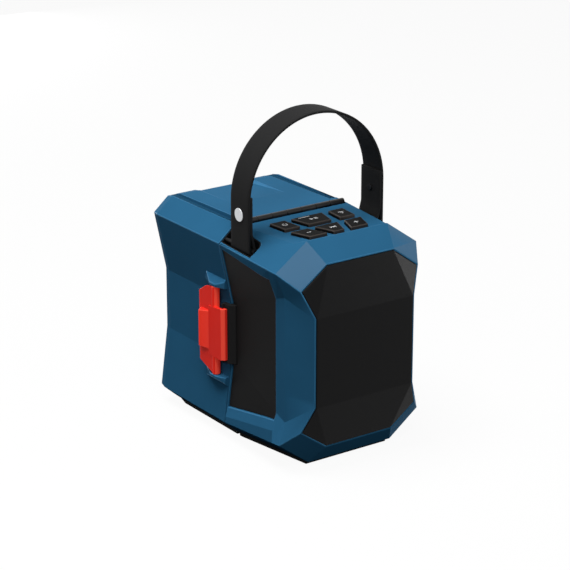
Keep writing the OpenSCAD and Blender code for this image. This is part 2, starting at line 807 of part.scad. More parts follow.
module grille_frame() {
    pitch = vent_w + vent_bar;
    columns = floor((grille_side_w / 2 - grille_lip - wall) / pitch - 0.5);
    rows = floor((body_h - grille_side_drop - grille_side_z) / pitch / 2);
    color(black) difference() {
        grille_plate(cloth_t - cloth_proud, grille_seat - cloth_proud - seat_gap);
        for (i = [-columns:columns], j = [-rows:rows])
            translate([i * pitch - vent_w / 2, front_y - over, driver_z + j * pitch - vent_w / 2])
                cube([vent_w, 2 * grille_bulge + grille_seat + 2 * over, vent_w]);
    }
}

module grille_cloth() {
    color(black) grille_plate(-cloth_proud, cloth_t - cloth_proud);
}

// Plate that fills the housing between two depths
module inner_plate(y0, y1) {
    intersection() {
        loft([for (r = cavity_rings) inset(r, plate_gap)]);
        box(-hw, hw, y0, y1, 0, body_h);
    }
}

module baffle() {
    color(black) difference() {
        inner_plate(baffle_y, baffle_y + baffle_t);
        rod_y(0, driver_z, baffle_y - over, baffle_y + baffle_t + over, driver_hole_d);
    }
}

// The driver is turned about its own axis, with Z pointing to the rear
module on_driver_axis() {
    translate([0, baffle_y, driver_z]) rotate([-90, 0, 0]) rotate_extrude() children();
}

module woofer_basket() {
    rim = driver_hole_d / 2 - basket_gap;
    seat = magnet_d / 2 - magnet_plate_t;
    throat = coil_d / 2 + 2 * coil_gap;
    color(black) on_driver_axis() polygon([
        [cone_d / 2 + roll_w, -driver_flange_t],
        [driver_d / 2, -driver_flange_t],
        [driver_d / 2, 0],
        [rim, 0],
        [rim, baffle_t],
        [seat, basket_d],
        [throat, basket_d],
        [throat, basket_d - basket_wall],
        [seat - basket_wall, basket_d - basket_wall],
        [cone_d / 2 + roll_w, baffle_t / 2]]);
}

module woofer_magnet() {
    gap_in = coil_d / 2 - coil_gap;
    gap_out = coil_d / 2 + coil_gap;
    plate = basket_d + magnet_t - magnet_plate_t;
    color("#4a4c50") on_driver_axis() polygon([
        [gap_out, basket_d],
        [magnet_d / 2, basket_d],
        [magnet_d / 2, basket_d + magnet_t],
        [0, basket_d + magnet_t],
        [0, basket_d - basket_wall],
        [gap_in, basket_d - basket_wall],
        [gap_in, plate],
        [gap_out, plate]]);
}

module woofer_surround() {
    mid = (cone_d + roll_w + running_gap) / 2;
    roll = (roll_w - running_gap) / 2;
    color("#141414") on_driver_axis() union() {
        intersection() {
            difference() {
                translate([mid, -driver_flange_t]) circle(roll);
                translate([mid, -driver_flange_t]) circle(roll - roll_t);
            }
            translate([mid - roll, -driver_flange_t - roll]) square([2 * roll, roll]);
        }
        translate([mid + roll - roll_t, -driver_flange_t - roll_t]) square([roll_w, roll_t]);
    }
}

module woofer_cone() {
    neck = coil_d / 2;
    depth = basket_d - basket_wall - 2 * cone_travel - cone_t;
    coil_end = basket_d + magnet_t - magnet_plate_t - 2 * cone_travel;
    cap = depth - 2 * cone_t;
    color("#2c2d2f") on_driver_axis() polygon([
        [cone_d / 2, -driver_flange_t],
        [cone_d / 2, cone_t - driver_flange_t],
        [neck, depth],
        [neck, coil_end],
        [neck - cone_t / 2, coil_end],
        [neck - cone_t / 2, cap + cone_t],
        [0, cap - dust_cap_h + cone_t],
        [0, cap - dust_cap_h],
        [neck - cone_t / 2, cap],
        [cone_d / 2 - cone_t, -driver_flange_t]]);
}

module bulkhead() {
    color(black) difference() {
        inner_plate(bulkhead_y, rail_y);
        for (p = screw_spots) rod_y(p[0], p[1], bulkhead_y - over, rail_y + over, screw_d + 2 * fit);
        box(-hinge_l / 2 - wall, hinge_l / 2 + wall, bulkhead_y - over, rail_y + over,
            leaf_z - over, body_h);
        on_both_sides() pocket_shape(-cup_t, pocket_z - cup_t - over);
    }
}

module bulkhead_screws() {
    color(steel) for (p = screw_spots) {
        rod_y(p[0], p[1], rail_y, rail_y + screw_head_h, screw_head_d);
        rod_y(p[0], p[1], rail_y - screw_l, rail_y, screw_d);
    }
}

module main_board() {
    color("#1f5a38") {
        box(-board_w / 2, board_w / 2, board_y, board_y + board_t, board_z, board_z + board_h);
        for (x = [-1, 1], z = [-1, 1])
            rod_y(x * (board_w / 2 - board_post_inset), driver_z + z * (board_h / 2 - board_post_inset),
                board_y + board_t, bulkhead_y, board_post_d);
        translate([-chip_w / 2, board_y - chip_t, driver_z - chip_w / 2]) cube([chip_w, chip_t, chip_w]);
        for (x = [1, 2]) rod_y(x * board_w / 6, driver_z, board_y - capacitor_l, board_y, capacitor_d);
        translate([-board_w / 2 + board_post_inset, board_y - coil_box_t, driver_z - coil_box_w / 2])
            cube([coil_box_w, coil_box_t, coil_box_w]);
    }
}

module key_board() {
    color("#1f5a38") {
        box(-key_board_hw, key_board_hw, key_board_y0, key_board_y1, key_board_z, key_board_z + board_t);
        for (x = [-key_board_hw + key_post_d / 2, key_board_hw - key_post_d / 2])
            rod_z(x, rear_row_y - key_row_gap / 2, key_board_z + board_t, key_under_z, key_post_d);
    }
}

module key_switches() {
    color("#8a8d90") for (shape = key_shapes) {
        c = centre(shape);
        translate([c[0] - switch_w / 2, c[1] - switch_w / 2, key_board_z + board_t])
            cube([switch_w, switch_w, switch_h - plunger_h]);
        rod_z(c[0], c[1], switch_z - plunger_h, switch_z, plunger_d);
    }
}

module key(index) {
    shape = key_shapes[index];
    c = centre(shape);
    flange_z = key_under_z - running_gap - flange_t;
    color(black) {
        translate([0, 0, flange_z]) {
            linear_extrude(key_top_z - flange_z) polygon(shape);
            linear_extrude(flange_t) polygon(grown(shape, key_gap + flange_reach));
        }
        rod_z(c[0], c[1], flange_z - stem_l, flange_z, stem_d);
    }
}
module power_key() { key(0); }
module play_key() { key(1); }
module pair_key() { key(2); }
module volume_down_key() { key(3); }
module skip_key() { key(4); }
module volume_up_key() { key(5); }

module light_hole(gap) {
    box(-light_l / 2 - gap, light_l / 2 + gap, light_y - gap, light_y + light_w + gap,
        key_under_z - over, panel_z + over);
}

module status_light() {
    color("#dfe6ea")
        box(-light_l / 2, light_l / 2, light_y, light_y + light_w, key_under_z, panel_z + light_proud);
}

// Knuckles alternate between the two leaves, starting with the fixed one
module knuckles(first) {
    for (i = [first:2:hinge_n - 1]) {
        x0 = -hinge_l / 2 + i * knuckle_l + running_gap / 2;
        x1 = x0 + knuckle_l - running_gap;
        difference() {
            union() {
                rod_x(hinge_y, hinge_z, x0, x1, hinge_d);
                if (first == 0)
                    box(x0, x1, hinge_y - hinge_d / 2, hinge_y, leaf_z, hinge_z);
                else
                    box(x0, x1, hinge_y, cover_y, hinge_z - leaf_t, hinge_z);
            }
            rod_x(hinge_y, hinge_z, x0 - over, x1 + over, hinge_pin_d + 2 * fit);
        }
    }
}

module hinge_fixed_leaf() {
    color(black) {
        knuckles(0);
        box(-hinge_l / 2, hinge_l / 2, trough_front_y + 2 * fit, seam_y, leaf_z, leaf_z + leaf_t);
    }
}

module hinge_moving_leaf() {
    color(black) {
        knuckles(1);
        box(-hinge_l / 2, hinge_l / 2, cover_y, cover_y + leaf_t, leaf_low_z, hinge_z);
    }
}

module hinge_pin() {
    color(steel) rod_x(hinge_y, hinge_z, -hinge_l / 2, hinge_l / 2, hinge_pin_d);
}

// Deck that falls towards the rear
module deck() {
    along_x(-deck_half_w, deck_half_w) polygon([
        [cover_y, deck_top_z],
        [tail_y, deck_rear_z],
        [rear_y - over, deck_rear_z - bevel_drop],
        [rear_y - over, deck_rear_z - bevel_drop - wall],
        [cover_y, panel_z - wall]]);
}

// Wedge on the cover that holds one end of a latch pin, above or below z
module cover_ear(z, turn) {
    root = waist_w / 2 - wall / 2;
    out = latch_x + latch_pin_d / 2 + ear_wall;
    back = latch_y + ear_reach;
    top = z + turn * ear_h;
    intersection() {
        linear_extrude(body_h) polygon([
            [root, cover_y],
            [out - ear_cut, cover_y],
            [out, latch_y - ear_flat],
            [out, latch_y + ear_flat],
            [waist_w / 2, back],
            [root, back]]);
        across(cover_y, back) polygon([
            [root, z],
            [out, z],
            [out, z + turn * ear_lip],
            [wall_x(top) - over, top],
            [root, top]]);
    }
}

module rear_cover() {
    inner = [for (r = cover_rings) inset(r, wall)];
    scoop_rise = deck_slope * scoop_l;
    scoop_slope = deck_slope + scoop_depth / scoop_l;
    color(blue) difference() {
        union() {
            loft(cover_rings);
            deck();
            on_both_sides() {
                cover_ear(ear_top_z, 1);
                cover_ear(ear_low_z, -1);
            }
        }
        loft([to_y(inner[0], cover_y - over), inner[1], to_y(inner[2], rear_y - wall)]);
        box(-hinge_l / 2 - fit, hinge_l / 2 + fit, cover_y - over, cover_y + leaf_t,
            leaf_low_z - fit, body_h);
        on_both_sides() {
            rod_z(latch_x, latch_y, pin_low_z - fit, pin_top_z + fit, latch_pin_d + 2 * fit);
            box(bevel_w / 2 - rim_t - channel_w, bevel_w / 2 - rim_t, cover_y + channel_end,
                tail_y - channel_end, panel_z - channel_depth, body_h);
        }
        translate([0, tail_y - scoop_l, deck_rear_z + scoop_rise]) rotate([-atan(scoop_slope), 0, 0])
            box(-scoop_w / 2, scoop_w / 2, 0, 2 * scoop_l, 0, wall);
        cover_foot(fit);
    }
}

// Seal round the seam, from one strap pocket under the speaker to the other
module cover_seal() {
    color(black) across(seam_y, seam_y + seal_t) difference() {
        ring_outline(inset(seam_ring, seal_inset));
        ring_outline(inset(seam_ring, seal_inset + seal_w));
        translate([-hw, pocket_z - cup_t]) square([body_w, body_h]);
    }
}

// Plan of the latch plate, with its hook at the front
module plate_plan() {
    difference() {
        polygon([
            [latch_face_x - plate_chamfer, hook_y],
            [latch_face_x, hook_y + plate_chamfer],
            [latch_face_x, plate_end_y],
            [latch_face_x - plate_t, plate_end_y],
            [latch_x, latch_y],
            [catch_out + catch_gap + fit, hook_y + hook_t],
            [hook_in, hook_y + hook_t],
            [hook_in, hook_y]]);
        translate([latch_x, latch_y]) circle(d = latch_barrel_d - over);
    }
}

// Raised plate, with a top that falls to the rear
module latch_plate() {
    z0 = latch_z - latch_plate_h / 2;
    z1 = z0 + latch_plate_h;
    intersection() {
        translate([0, 0, z0]) linear_extrude(latch_plate_h) plate_plan();
        along_x(hook_in, latch_face_x) polygon([
            [hook_y, z0],
            [plate_end_y, z0],
            [plate_end_y, z1 - plate_top_fall],
            [hook_y, z1]]);
    }
}

// Flared finger tail behind the plate
module latch_tail() {
    z0 = latch_z - tail_h / 2;
    z1 = z0 + tail_h;
    end_y = plate_end_y + tail_flare_l;
    inner = latch_face_x - plate_t;
    outer = latch_face_x + tail_flare;
    intersection() {
        translate([0, 0, z0]) linear_extrude(tail_h) polygon([
            [latch_face_x, plate_end_y - over],
            [latch_face_x, plate_end_y],
            [outer, end_y],
            [outer - plate_t, end_y],
            [inner, plate_end_y],
            [inner, plate_end_y - over]]);
        across(latch_y, end_y) polygon([
            [inner, z0],
            [outer, z0],
            [outer, z1 - tail_chamfer],
            [inner, z1]]);
    }
}

module latch(left) {
    web_x = latch_x + web_out;
    web_y = plate_end_y + web_reach;
    web_z = latch_top_z - web_top_fall;
    color(red) on_side(left) difference() {
        union() {
            latch_plate();
            latch_tail();
            rod_z(latch_x, latch_y, latch_low_z, latch_top_z, latch_barrel_d);
            along_x(web_x, web_x + web_t) polygon([
                [latch_y, latch_low_z],
                [web_y, latch_low_z + web_slant_h],
                [web_y, web_z - web_corner_h],
                [web_y - web_corner_l, web_z],
                [latch_y, latch_top_z]]);
        }
        rod_z(latch_x, latch_y, latch_low_z - over, latch_top_z + over, latch_pin_d + 2 * fit);
    }
}
module latch_left() { latch(true); }
module latch_right() { latch(false); }

module latch_pin(left) {
    color(steel) on_side(left) rod_z(latch_x, latch_y, pin_low_z, pin_top_z, latch_pin_d);
}
module latch_pin_left() { latch_pin(true); }
module latch_pin_right() { latch_pin(false); }

// Room for the root of the catch in the housing and the side panel
module catch_seat(gap) {
    box(waist_w / 2 - wall / 2 - gap, hw, seam_y - catch_root - gap, seam_y + over,
        latch_z - catch_h / 2 - gap, latch_z + catch_h / 2 + gap);
}

// Ramped tongue that reaches back over the seam, with a rib for the hook at its end
module latch_catch(left) {
    root = waist_w / 2 - wall / 2;
    inner = waist_w / 2 + catch_gap;
    base = hook_in - catch_gap;
    rib_y = hook_y + hook_t + catch_gap;
    color(black) on_side(left) translate([0, 0, latch_z - catch_h / 2]) linear_extrude(catch_h) polygon([
        [root, seam_y - catch_root],
        [waist_w / 2, seam_y - catch_root],
        [base, seam_y - catch_root + base - waist_w / 2],
        [base, rib_y],
        [catch_out, rib_y],
        [catch_out, rib_y + catch_t / 2],
        [base, rib_y + catch_t],
        [inner, rib_y + catch_t],
        [inner, seam_y],
        [root, seam_y]]);
}
module latch_catch_left() { latch_catch(true); }
module latch_catch_right() { latch_catch(false); }

// Cup that lines the shoulder pocket, trimmed just below the shoulder
module strap_anchor(left) {
    color(black) on_side(left) difference() {
        intersection() {
            pocket_shape(fit, pocket_z + fit);
            loft([for (r = front_rings) inset(r, cup_drop)]);
        }
        intersection() {
            pocket_shape(cup_t, pocket_z + cup_t);
            box(0, hw, front_y, seam_y - cup_t, 0, 2 * body_h);
        }
        rod_y(strap_pin_x, strap_pin_z, seam_y - pocket_l, seam_y + over, strap_pin_d + 2 * fit);
    }
}
module strap_anchor_left() { strap_anchor(true); }
module strap_anchor_right() { strap_anchor(false); }

module strap_pins() {
    color(steel) on_both_sides()
        rod_y(strap_pin_x, strap_pin_z, seam_y - pocket_l + 2 * fit, seam_y, strap_pin_d);
}

// Section of one strap leg: straight outer layer, loop under the pin and folded inner layer
module strap_leg() {
    r = strap_pin_d / 2 + fit;
    inner = strap_pin_x - r;
    fold_top = strap_pin_z + fold_l;
    close_z = strap_pin_z + fold_meet;
    difference() {
        translate([strap_pin_x, strap_pin_z]) circle(r + strap_t);
        translate([strap_pin_x, strap_pin_z]) circle(r);
        translate([strap_pin_x - r - strap_t - over, strap_pin_z])
            square([2 * (r + strap_t + over), r + strap_t + over]);
    }
    translate([strap_out - strap_t, strap_pin_z]) square([strap_t, arch_z - strap_pin_z]);
    polygon([
        [inner - strap_t, strap_pin_z],
        [inner, strap_pin_z],
        [strap_out - strap_t, close_z],
        [strap_out - strap_t, fold_top],
        [strap_out - 2 * strap_t, fold_top],
        [strap_out - 2 * strap_t, close_z]]);
}

module strap() {
    color(black) difference() {
        across(strap_y - strap_w / 2, strap_y + strap_w / 2) union() {
            on_both_sides() strap_leg();
            translate([0, arch_z]) difference() {
                circle(arch_r, $fn = 96);
                circle(arch_r - strap_t, $fn = 96);
                translate([-2 * arch_r, -2 * arch_r]) square([4 * arch_r, 2 * arch_r]);
            }
        }
        rod_x(strap_y, snap_z, -hw, hw, snap_shank_d + 2 * fit);
    }
}

module strap_snaps() {
    color(steel) on_both_sides() {
        rod_x(strap_y, snap_z, strap_out, strap_out + snap_t, snap_d);
        rod_x(strap_y, snap_z, strap_out - 2 * strap_t, strap_out, snap_shank_d);
        rod_x(strap_y, snap_z, strap_out - 2 * strap_t - snap_t, strap_out - 2 * strap_t, snap_back_d);
    }
}

// Band round the underside, from half width w0 at y0 to w1 at y1
module foot_ring(w0, w1, y0, y1, gap) {
    outline = [[-w0, y0], [w0, y0], [w1, y1], [-w1, y1]];
    linear_extrude(belly_z + foot_recess) difference() {
        polygon(grown(outline, gap));
        polygon(grown(outline, -foot_band - gap));
    }
}

module front_foot(gap) {
    foot_ring(chin_w / 2 - foot_inset, belly_w / 2 - foot_inset, chin_y + foot_end, seam_y - foot_end, gap);
}

module cover_foot(gap) {
    foot_w = belly_w / 2 - foot_inset;
    foot_ring(foot_w, foot_w, cover_y + foot_end, tail_y - rear_foot_ahead, gap);
}

module front_feet() {
    color(black) front_foot(0);
}

module rear_foot() {
    color(black) cover_foot(0);
}

module rail_plan(grow) {
    flange_y = pack_y - rail_flange_t;
    polygon([
        [-rail_w / 2 + rail_flange - grow, rail_y],
        [rail_w / 2 - rail_flange + grow, rail_y],
        [rail_w / 2 - rail_flange + grow, flange_y - grow],
        [rail_w / 2 + grow, flange_y - grow],
        [rail_w / 2 + grow, pack_y + grow],
        [-rail_w / 2 - grow, pack_y + grow],
        [-rail_w / 2 - grow, flange_y - grow],
        [-rail_w / 2 + rail_flange - grow, flange_y - grow]]);
}

module pack_rail() {
    color(black) difference() {
        translate([0, 0, pack_z + rail_end]) linear_extrude(pack_h - 2 * rail_end) rail_plan(0);
        contact_blades(over);
    }
}

module contact_blades(more) {
    for (i = [0:contact_n - 1]) {
        x = (i - (contact_n - 1) / 2) * contact_pitch;
        translate([x - contact_t / 2, pack_y - contact_d, pack_z + 2 * rail_end])
            cube([contact_t, contact_d + more, contact_l]);
    }
}

module pack_contacts() {
    color(steel) contact_blades(0);
}

module battery_pack() {
    case_y = pack_y + rail_gap + over;
    flank_x = rail_w / 2 + pack_wall;
    color(black) difference() {
        union() {
            box(-pack_w / 2, pack_w / 2, case_y, pack_y + pack_d, pack_z, pack_z + pack_h);
            box(-flank_x, flank_x, pack_y - flank_d, case_y, pack_z, pack_z + pack_h);
        }
        translate([0, 0, pack_z - over])
            linear_extrude(pack_h - rail_end + over + rail_gap) rail_plan(rail_gap);
    }
}

front_housing();
side_panel_left();
side_panel_right();
grille_frame();
grille_cloth();
baffle();
woofer_basket();
woofer_magnet();
woofer_surround();
woofer_cone();
bulkhead();
main_board();
key_board();
key_switches();
power_key();
play_key();
pair_key();
volume_down_key();
skip_key();
volume_up_key();
status_light();
hinge_fixed_leaf();
hinge_moving_leaf();
hinge_pin();
rear_cover();
cover_seal();
latch_left();
latch_right();
latch_pin_left();
latch_pin_right();
latch_catch_left();
latch_catch_right();
strap_anchor_left();
strap_anchor_right();
strap_pins();
strap();
strap_snaps();
front_feet();
rear_foot();
pack_rail();
pack_contacts();
battery_pack();
bulkhead_screws();
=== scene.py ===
import json
import math

import bmesh
import bpy
from mathutils import Matrix, Vector

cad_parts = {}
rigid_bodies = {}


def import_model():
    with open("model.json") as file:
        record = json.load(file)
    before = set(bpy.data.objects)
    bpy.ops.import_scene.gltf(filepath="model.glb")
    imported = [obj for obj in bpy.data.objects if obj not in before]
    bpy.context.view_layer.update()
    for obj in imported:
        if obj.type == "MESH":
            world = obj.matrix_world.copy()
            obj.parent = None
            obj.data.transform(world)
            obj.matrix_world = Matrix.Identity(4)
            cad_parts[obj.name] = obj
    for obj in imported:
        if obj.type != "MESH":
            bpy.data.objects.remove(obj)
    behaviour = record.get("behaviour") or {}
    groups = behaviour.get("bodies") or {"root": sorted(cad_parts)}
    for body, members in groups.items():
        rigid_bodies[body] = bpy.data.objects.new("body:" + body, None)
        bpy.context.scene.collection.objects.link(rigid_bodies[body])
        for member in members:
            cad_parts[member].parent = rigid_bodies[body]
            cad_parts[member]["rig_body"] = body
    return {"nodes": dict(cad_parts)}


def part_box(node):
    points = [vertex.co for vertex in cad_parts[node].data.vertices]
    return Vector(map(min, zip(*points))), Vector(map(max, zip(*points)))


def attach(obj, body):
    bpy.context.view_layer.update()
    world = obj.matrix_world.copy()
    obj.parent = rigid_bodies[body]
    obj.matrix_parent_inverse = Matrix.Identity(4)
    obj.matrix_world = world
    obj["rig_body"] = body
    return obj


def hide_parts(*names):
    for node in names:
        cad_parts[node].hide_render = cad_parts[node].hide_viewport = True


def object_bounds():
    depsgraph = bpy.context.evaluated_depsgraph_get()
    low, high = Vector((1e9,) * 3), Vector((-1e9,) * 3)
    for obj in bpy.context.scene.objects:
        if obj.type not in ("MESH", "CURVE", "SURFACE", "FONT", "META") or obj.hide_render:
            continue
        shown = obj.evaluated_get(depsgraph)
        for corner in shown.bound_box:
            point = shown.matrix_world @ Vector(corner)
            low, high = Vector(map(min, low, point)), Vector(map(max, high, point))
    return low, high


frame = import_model()
cadLow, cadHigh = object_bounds()
mm = 0.001
print("frame loaded:", len(frame["nodes"]), "nodes")

# Camera at the photograph's viewing angle
cameraSetup = {
    "eye": (-940.8 * mm, -1332.6 * mm, 702.7 * mm),
    "azimuth": -35.064,
    "elevation": 19.787,
    "focalPixels": 2216.04,  # focal length in pixels of the photograph's width
    "frameWidth": 570,
    "sensor": 36,
}


def makeCamera(setup):
    az = math.radians(setup["azimuth"])
    el = math.radians(setup["elevation"])
    right = Vector((math.cos(az), math.sin(az), 0))
    back = Vector((math.sin(az) * math.cos(el), -math.cos(az) * math.cos(el), math.sin(el)))
    bpy.ops.object.camera_add(location=setup["eye"])
    camera = bpy.context.object
    camera.rotation_euler = Matrix((right, back.cross(right), back)).transposed().to_euler()
    camera.data.sensor_width = setup["sensor"]
    camera.data.lens = setup["sensor"] * setup["focalPixels"] / setup["frameWidth"]
    bpy.context.scene.camera = camera


makeCamera(cameraSetup)


# Shader maths: a wire is one output socket, and expressions on wires add Math nodes
class Wire:
    def __init__(self, sheet, socket):
        self.sheet = sheet
        self.socket = socket

    def math(self, operation, a, b=0.0):
        return self.sheet.add("ShaderNodeMath", {"operation": operation}, {0: a, 1: b})

    def __add__(self, other):
        return self.math("ADD", self, other)

    def __radd__(self, other):
        return self.math("ADD", other, self)

    def __sub__(self, other):
        return self.math("SUBTRACT", self, other)

    def __rsub__(self, other):
        return self.math("SUBTRACT", other, self)

    def __mul__(self, other):
        return self.math("MULTIPLY", self, other)

    def __rmul__(self, other):
        return self.math("MULTIPLY", other, self)

    def sine(self):
        return self.math("SINE", self)

    def absolute(self):
        return self.math("ABSOLUTE", self)

    def larger(self, other):
        return self.math("MAXIMUM", self, other)


class NodeSheet:
    def __init__(self, tree):
        self.tree = tree

    def feed(self, socket, value):
        if isinstance(value, Wire):
            self.tree.links.new(value.socket, socket)
        else:
            socket.default_value = value

    def add(self, kind, settings=None, inputs=None, output=0):
        node = self.tree.nodes.new(kind)
        for key, value in (settings or {}).items():
            setattr(node, key, value)
        for key, value in (inputs or {}).items():
            self.feed(node.inputs[key], value)
        return Wire(self, node.outputs[output]) if node.outputs else None

    def siblings(self, wire):
        return [Wire(self, socket) for socket in wire.socket.node.outputs]

    def mix(self, factor, a, b):
        return self.add("ShaderNodeMix", {"data_type": "RGBA"}, {"Factor": factor, 6: a, 7: b}, output=2)

    def seenRays(self):
        rays = {wire.socket.name: wire for wire in self.siblings(self.add("ShaderNodeLightPath"))}
        return rays["Is Camera Ray"].larger(rays["Is Glossy Ray"]).larger(rays["Is Transmission Ray"])


class Finish(NodeSheet):
    def __init__(self, name, **settings):
        self.material = bpy.data.materials.new(name)
        self.material.use_nodes = True
        super().__init__(self.material.node_tree)
        self.shader = self.tree.nodes["Principled BSDF"]
        for socket, value in settings.items():
            self.set(socket.replace("_", " "), value)

    def set(self, socket, value):
        self.feed(self.shader.inputs[socket], value)

    def coords(self, output="Object"):
        return self.add("ShaderNodeTexCoord", output=output)

    def axes(self, vector):
        return self.siblings(self.add("ShaderNodeSeparateXYZ", None, {0: vector}))

    def noise(self, scale, detail, rough=0.5):
        inputs = {"Vector": self.coords(), "Scale": scale, "Detail": detail, "Roughness": rough}
        return self.add("ShaderNodeTexNoise", None, inputs)

    def bump(self, height, strength, distance):
        inputs = {"Height": height, "Strength": strength, "Distance": distance}
        self.set("Normal", self.add("ShaderNodeBump", None, inputs))


def shade(color, factor):
    return tuple(c * factor for c in color[:3]) + (1.0,)


blue = (0.0255, 0.1265, 0.246)
red = (1.0, 0.029, 0.018)
mouldedLook = {
    "grainScale": 2400,  # about 0.4 mm between grains
    "grainDetail": 2,
    "grainDepth": 0.04 * mm,
    "grainRoughness": 0.08,  # how far the grain changes the roughness
    "mottleScale": 38,
    "mottleDetail": 3,
    "mottle": 0.06,
}


# glow makes a red finish give off a little light of its own: a painted glow that brightens it beyond what
# the lamps give
def mouldedPlastic(name, color, roughness, gloss=0.25, relief=0.25, glow=0):
    look = mouldedLook
    finish = Finish(name, Specular_IOR_Level=gloss)
    grain = finish.noise(look["grainScale"], look["grainDetail"])
    mottle = finish.noise(look["mottleScale"], look["mottleDetail"])
    dark, light = shade(color, 1 - look["mottle"]), shade(color, 1 + look["mottle"])
    finish.set("Base Color", finish.mix(mottle, dark, light))
    finish.set("Roughness", roughness + (grain - 0.5) * look["grainRoughness"])
    finish.bump(grain, relief, look["grainDepth"])
    if glow:
        finish.set("Emission Color", shade(red, 1))
        finish.set("Emission Strength", glow)
    return finish.material


blueShell = mouldedPlastic("blueShell", blue, 0.45, 0.004)
# a lighter blue for broken edges: a painted highlight along them
blueEdgeHighlight = mouldedPlastic("blueEdgeHighlight", shade(blue, 1.35), 0.40, 0.08)
blueFacet = mouldedPlastic("blueFacet", blue, 0.36, 0.16)
# a darker blue for the channel floors beside the deck: painted shade
blueGrooveShade = mouldedPlastic("blueGrooveShade", shade(blue, 0.52), 0.5, 0.004)
# a darker blue with no gloss for the undersides: painted shade
blueUnderShade = mouldedPlastic("blueUnderShade", shade(blue, 0.85), 0.6, 0.0)
blackPlastic = mouldedPlastic("blackPlastic", (0.0072, 0.0072, 0.0074), 0.58, 0.05)
# a lighter black for broken edges: a painted highlight along them
blackEdgeHighlight = mouldedPlastic("blackEdgeHighlight", (0.015, 0.015, 0.0155), 0.48, 0.08)
# a lighter black than the panel's: painted light that makes up for the shade the catch stands in
catchBlackLightened = mouldedPlastic("catchBlackLightened", (0.021, 0.021, 0.0215), 0.58, 0.02)
hingeBlack = mouldedPlastic("hingeBlack", (0.0085, 0.0082, 0.0080), 0.36, 0.30, relief=0.1)
keyPlastic = mouldedPlastic("keyPlastic", (0.0068, 0.0066, 0.0066), 0.50, 0.012, relief=0.12)
# a lighter brown-grey for the keys' front slopes and edges: a painted highlight
keyEdgeHighlight = mouldedPlastic("keyEdgeHighlight", (0.050, 0.042, 0.037), 0.45, 0.10, relief=0.12)
redPlastic = mouldedPlastic("redPlastic", red, 0.42, 0.06, relief=0.1, glow=0.05)
# lighter reds with more glow for the latches' edges, lip, barrel front and thumb pad: painted highlights
redEdgeHighlight = mouldedPlastic("redEdgeHighlight", (1.0, 0.10, 0.058), 0.38, 0.15, relief=0.1, glow=0.2)
redPadHighlight = mouldedPlastic("redPadHighlight", (1.0, 0.048, 0.024), 0.36, 0.08, relief=0.1, glow=0.2)
packPlastic = mouldedPlastic("packPlastic", (0.012, 0.0125, 0.014), 0.52, 0.15)
# a lighter black for broken edges: a painted highlight along them
packEdgeHighlight = mouldedPlastic("packEdgeHighlight", (0.024, 0.025, 0.028), 0.46, 0.2)
rubber = mouldedPlastic("rubber", (0.0075, 0.0075, 0.0075), 0.75, 0.04, relief=0.4)
signWhite = mouldedPlastic("signWhite", (0.66, 0.67, 0.68), 0.5, relief=0.05)
conePaper = mouldedPlastic("conePaper", (0.022, 0.023, 0.025), 0.6, relief=0.6)
lightPipe = mouldedPlastic("lightPipe", (0.70, 0.74, 0.78), 0.3, 0.5, relief=0.05)

clothLook = {
    "color": (0.0070, 0.0070, 0.0072, 1),
    "thread": (0.0125, 0.0125, 0.0130, 1),
    "roughness": 0.32,
    "gloss": 0.06,
    "pitch": 0.9 * mm,
    "relief": 0.5,
    "depth": 0.05 * mm,
}


def makeCloth(look):
    finish = Finish("acousticCloth", Roughness=look["roughness"], Specular_IOR_Level=look["gloss"])
    x, _, z = finish.axes(finish.coords())
    turns = 2 * math.pi / look["pitch"]
    warp = ((x + z) * turns).sine()
    weft = ((x - z) * turns).sine()
    weave = 0.5 + 0.25 * (warp + weft)
    finish.set("Base Color", finish.mix(weave, look["color"], look["thread"]))
    finish.bump(weave, look["relief"], look["depth"])
    return finish.material


acousticCloth = makeCloth(clothLook)

webbingLook = {
    "color": (0.0085, 0.0085, 0.0087, 1),
    "thread": (0.0240, 0.0240, 0.0245, 1),
    "roughness": 0.74,
    "gloss": 0.06,
    "columns": 11,  # warp bundles across the width
    "rows": 14,  # weft rows in a strap width of length
    "fuzz": 0.3,  # share of loose fibres in the colour
    "fuzzScale": 5200,
    "relief": 0.6,
    "depth": 0.25 * mm,
}


def makeWebbing(look):
    finish = Finish("webbing", Roughness=look["roughness"], Specular_IOR_Level=look["gloss"])
    u, v, _ = finish.axes(finish.coords("UV"))
    columns = (u * (look["columns"] * 2 * math.pi)).sine()
    step = columns * 0.5 * math.pi  # neighbouring bundles are half a row apart
    rows = (v * (look["rows"] * 2 * math.pi) + step).sine()
    weave = 0.5 + 0.3 * rows + 0.2 * columns.absolute()
    fuzz = finish.noise(look["fuzzScale"], 1)
    lit = weave * (1 - look["fuzz"]) + fuzz * look["fuzz"]
    finish.set("Base Color", finish.mix(lit, look["color"], look["thread"]))
    finish.bump(weave, look["relief"], look["depth"])
    return finish.material


webbing = makeWebbing(webbingLook)

steelLook = {
    "brushScale": 900,
    "brushDetail": 3,
    "brushRough": 0.7,
    "dark": 0.9,
    "light": 1.06,
    "spread": 0.16,  # how far the brushing changes the roughness
    "relief": 0.08,
    "depth": 0.02 * mm,
}


def makeSteel(name, color, roughness):
    look = steelLook
    finish = Finish(name, Metallic=1.0)
    brush = finish.noise(look["brushScale"], look["brushDetail"], look["brushRough"])
    finish.set("Base Color", finish.mix(brush, shade(color, look["dark"]), shade(color, look["light"])))
    finish.set("Roughness", roughness + (brush - 0.5) * look["spread"])
    finish.bump(brush, look["relief"], look["depth"])
    return finish.material


steel = makeSteel("steel", (0.62, 0.63, 0.65), 0.3)
snapSteel = makeSteel("snapSteel", (0.60, 0.615, 0.63), 0.36)
magnetSteel = makeSteel("magnetSteel", (0.20, 0.20, 0.22), 0.45)
pinBlack = makeSteel("pinBlack", (0.018, 0.018, 0.019), 0.5)

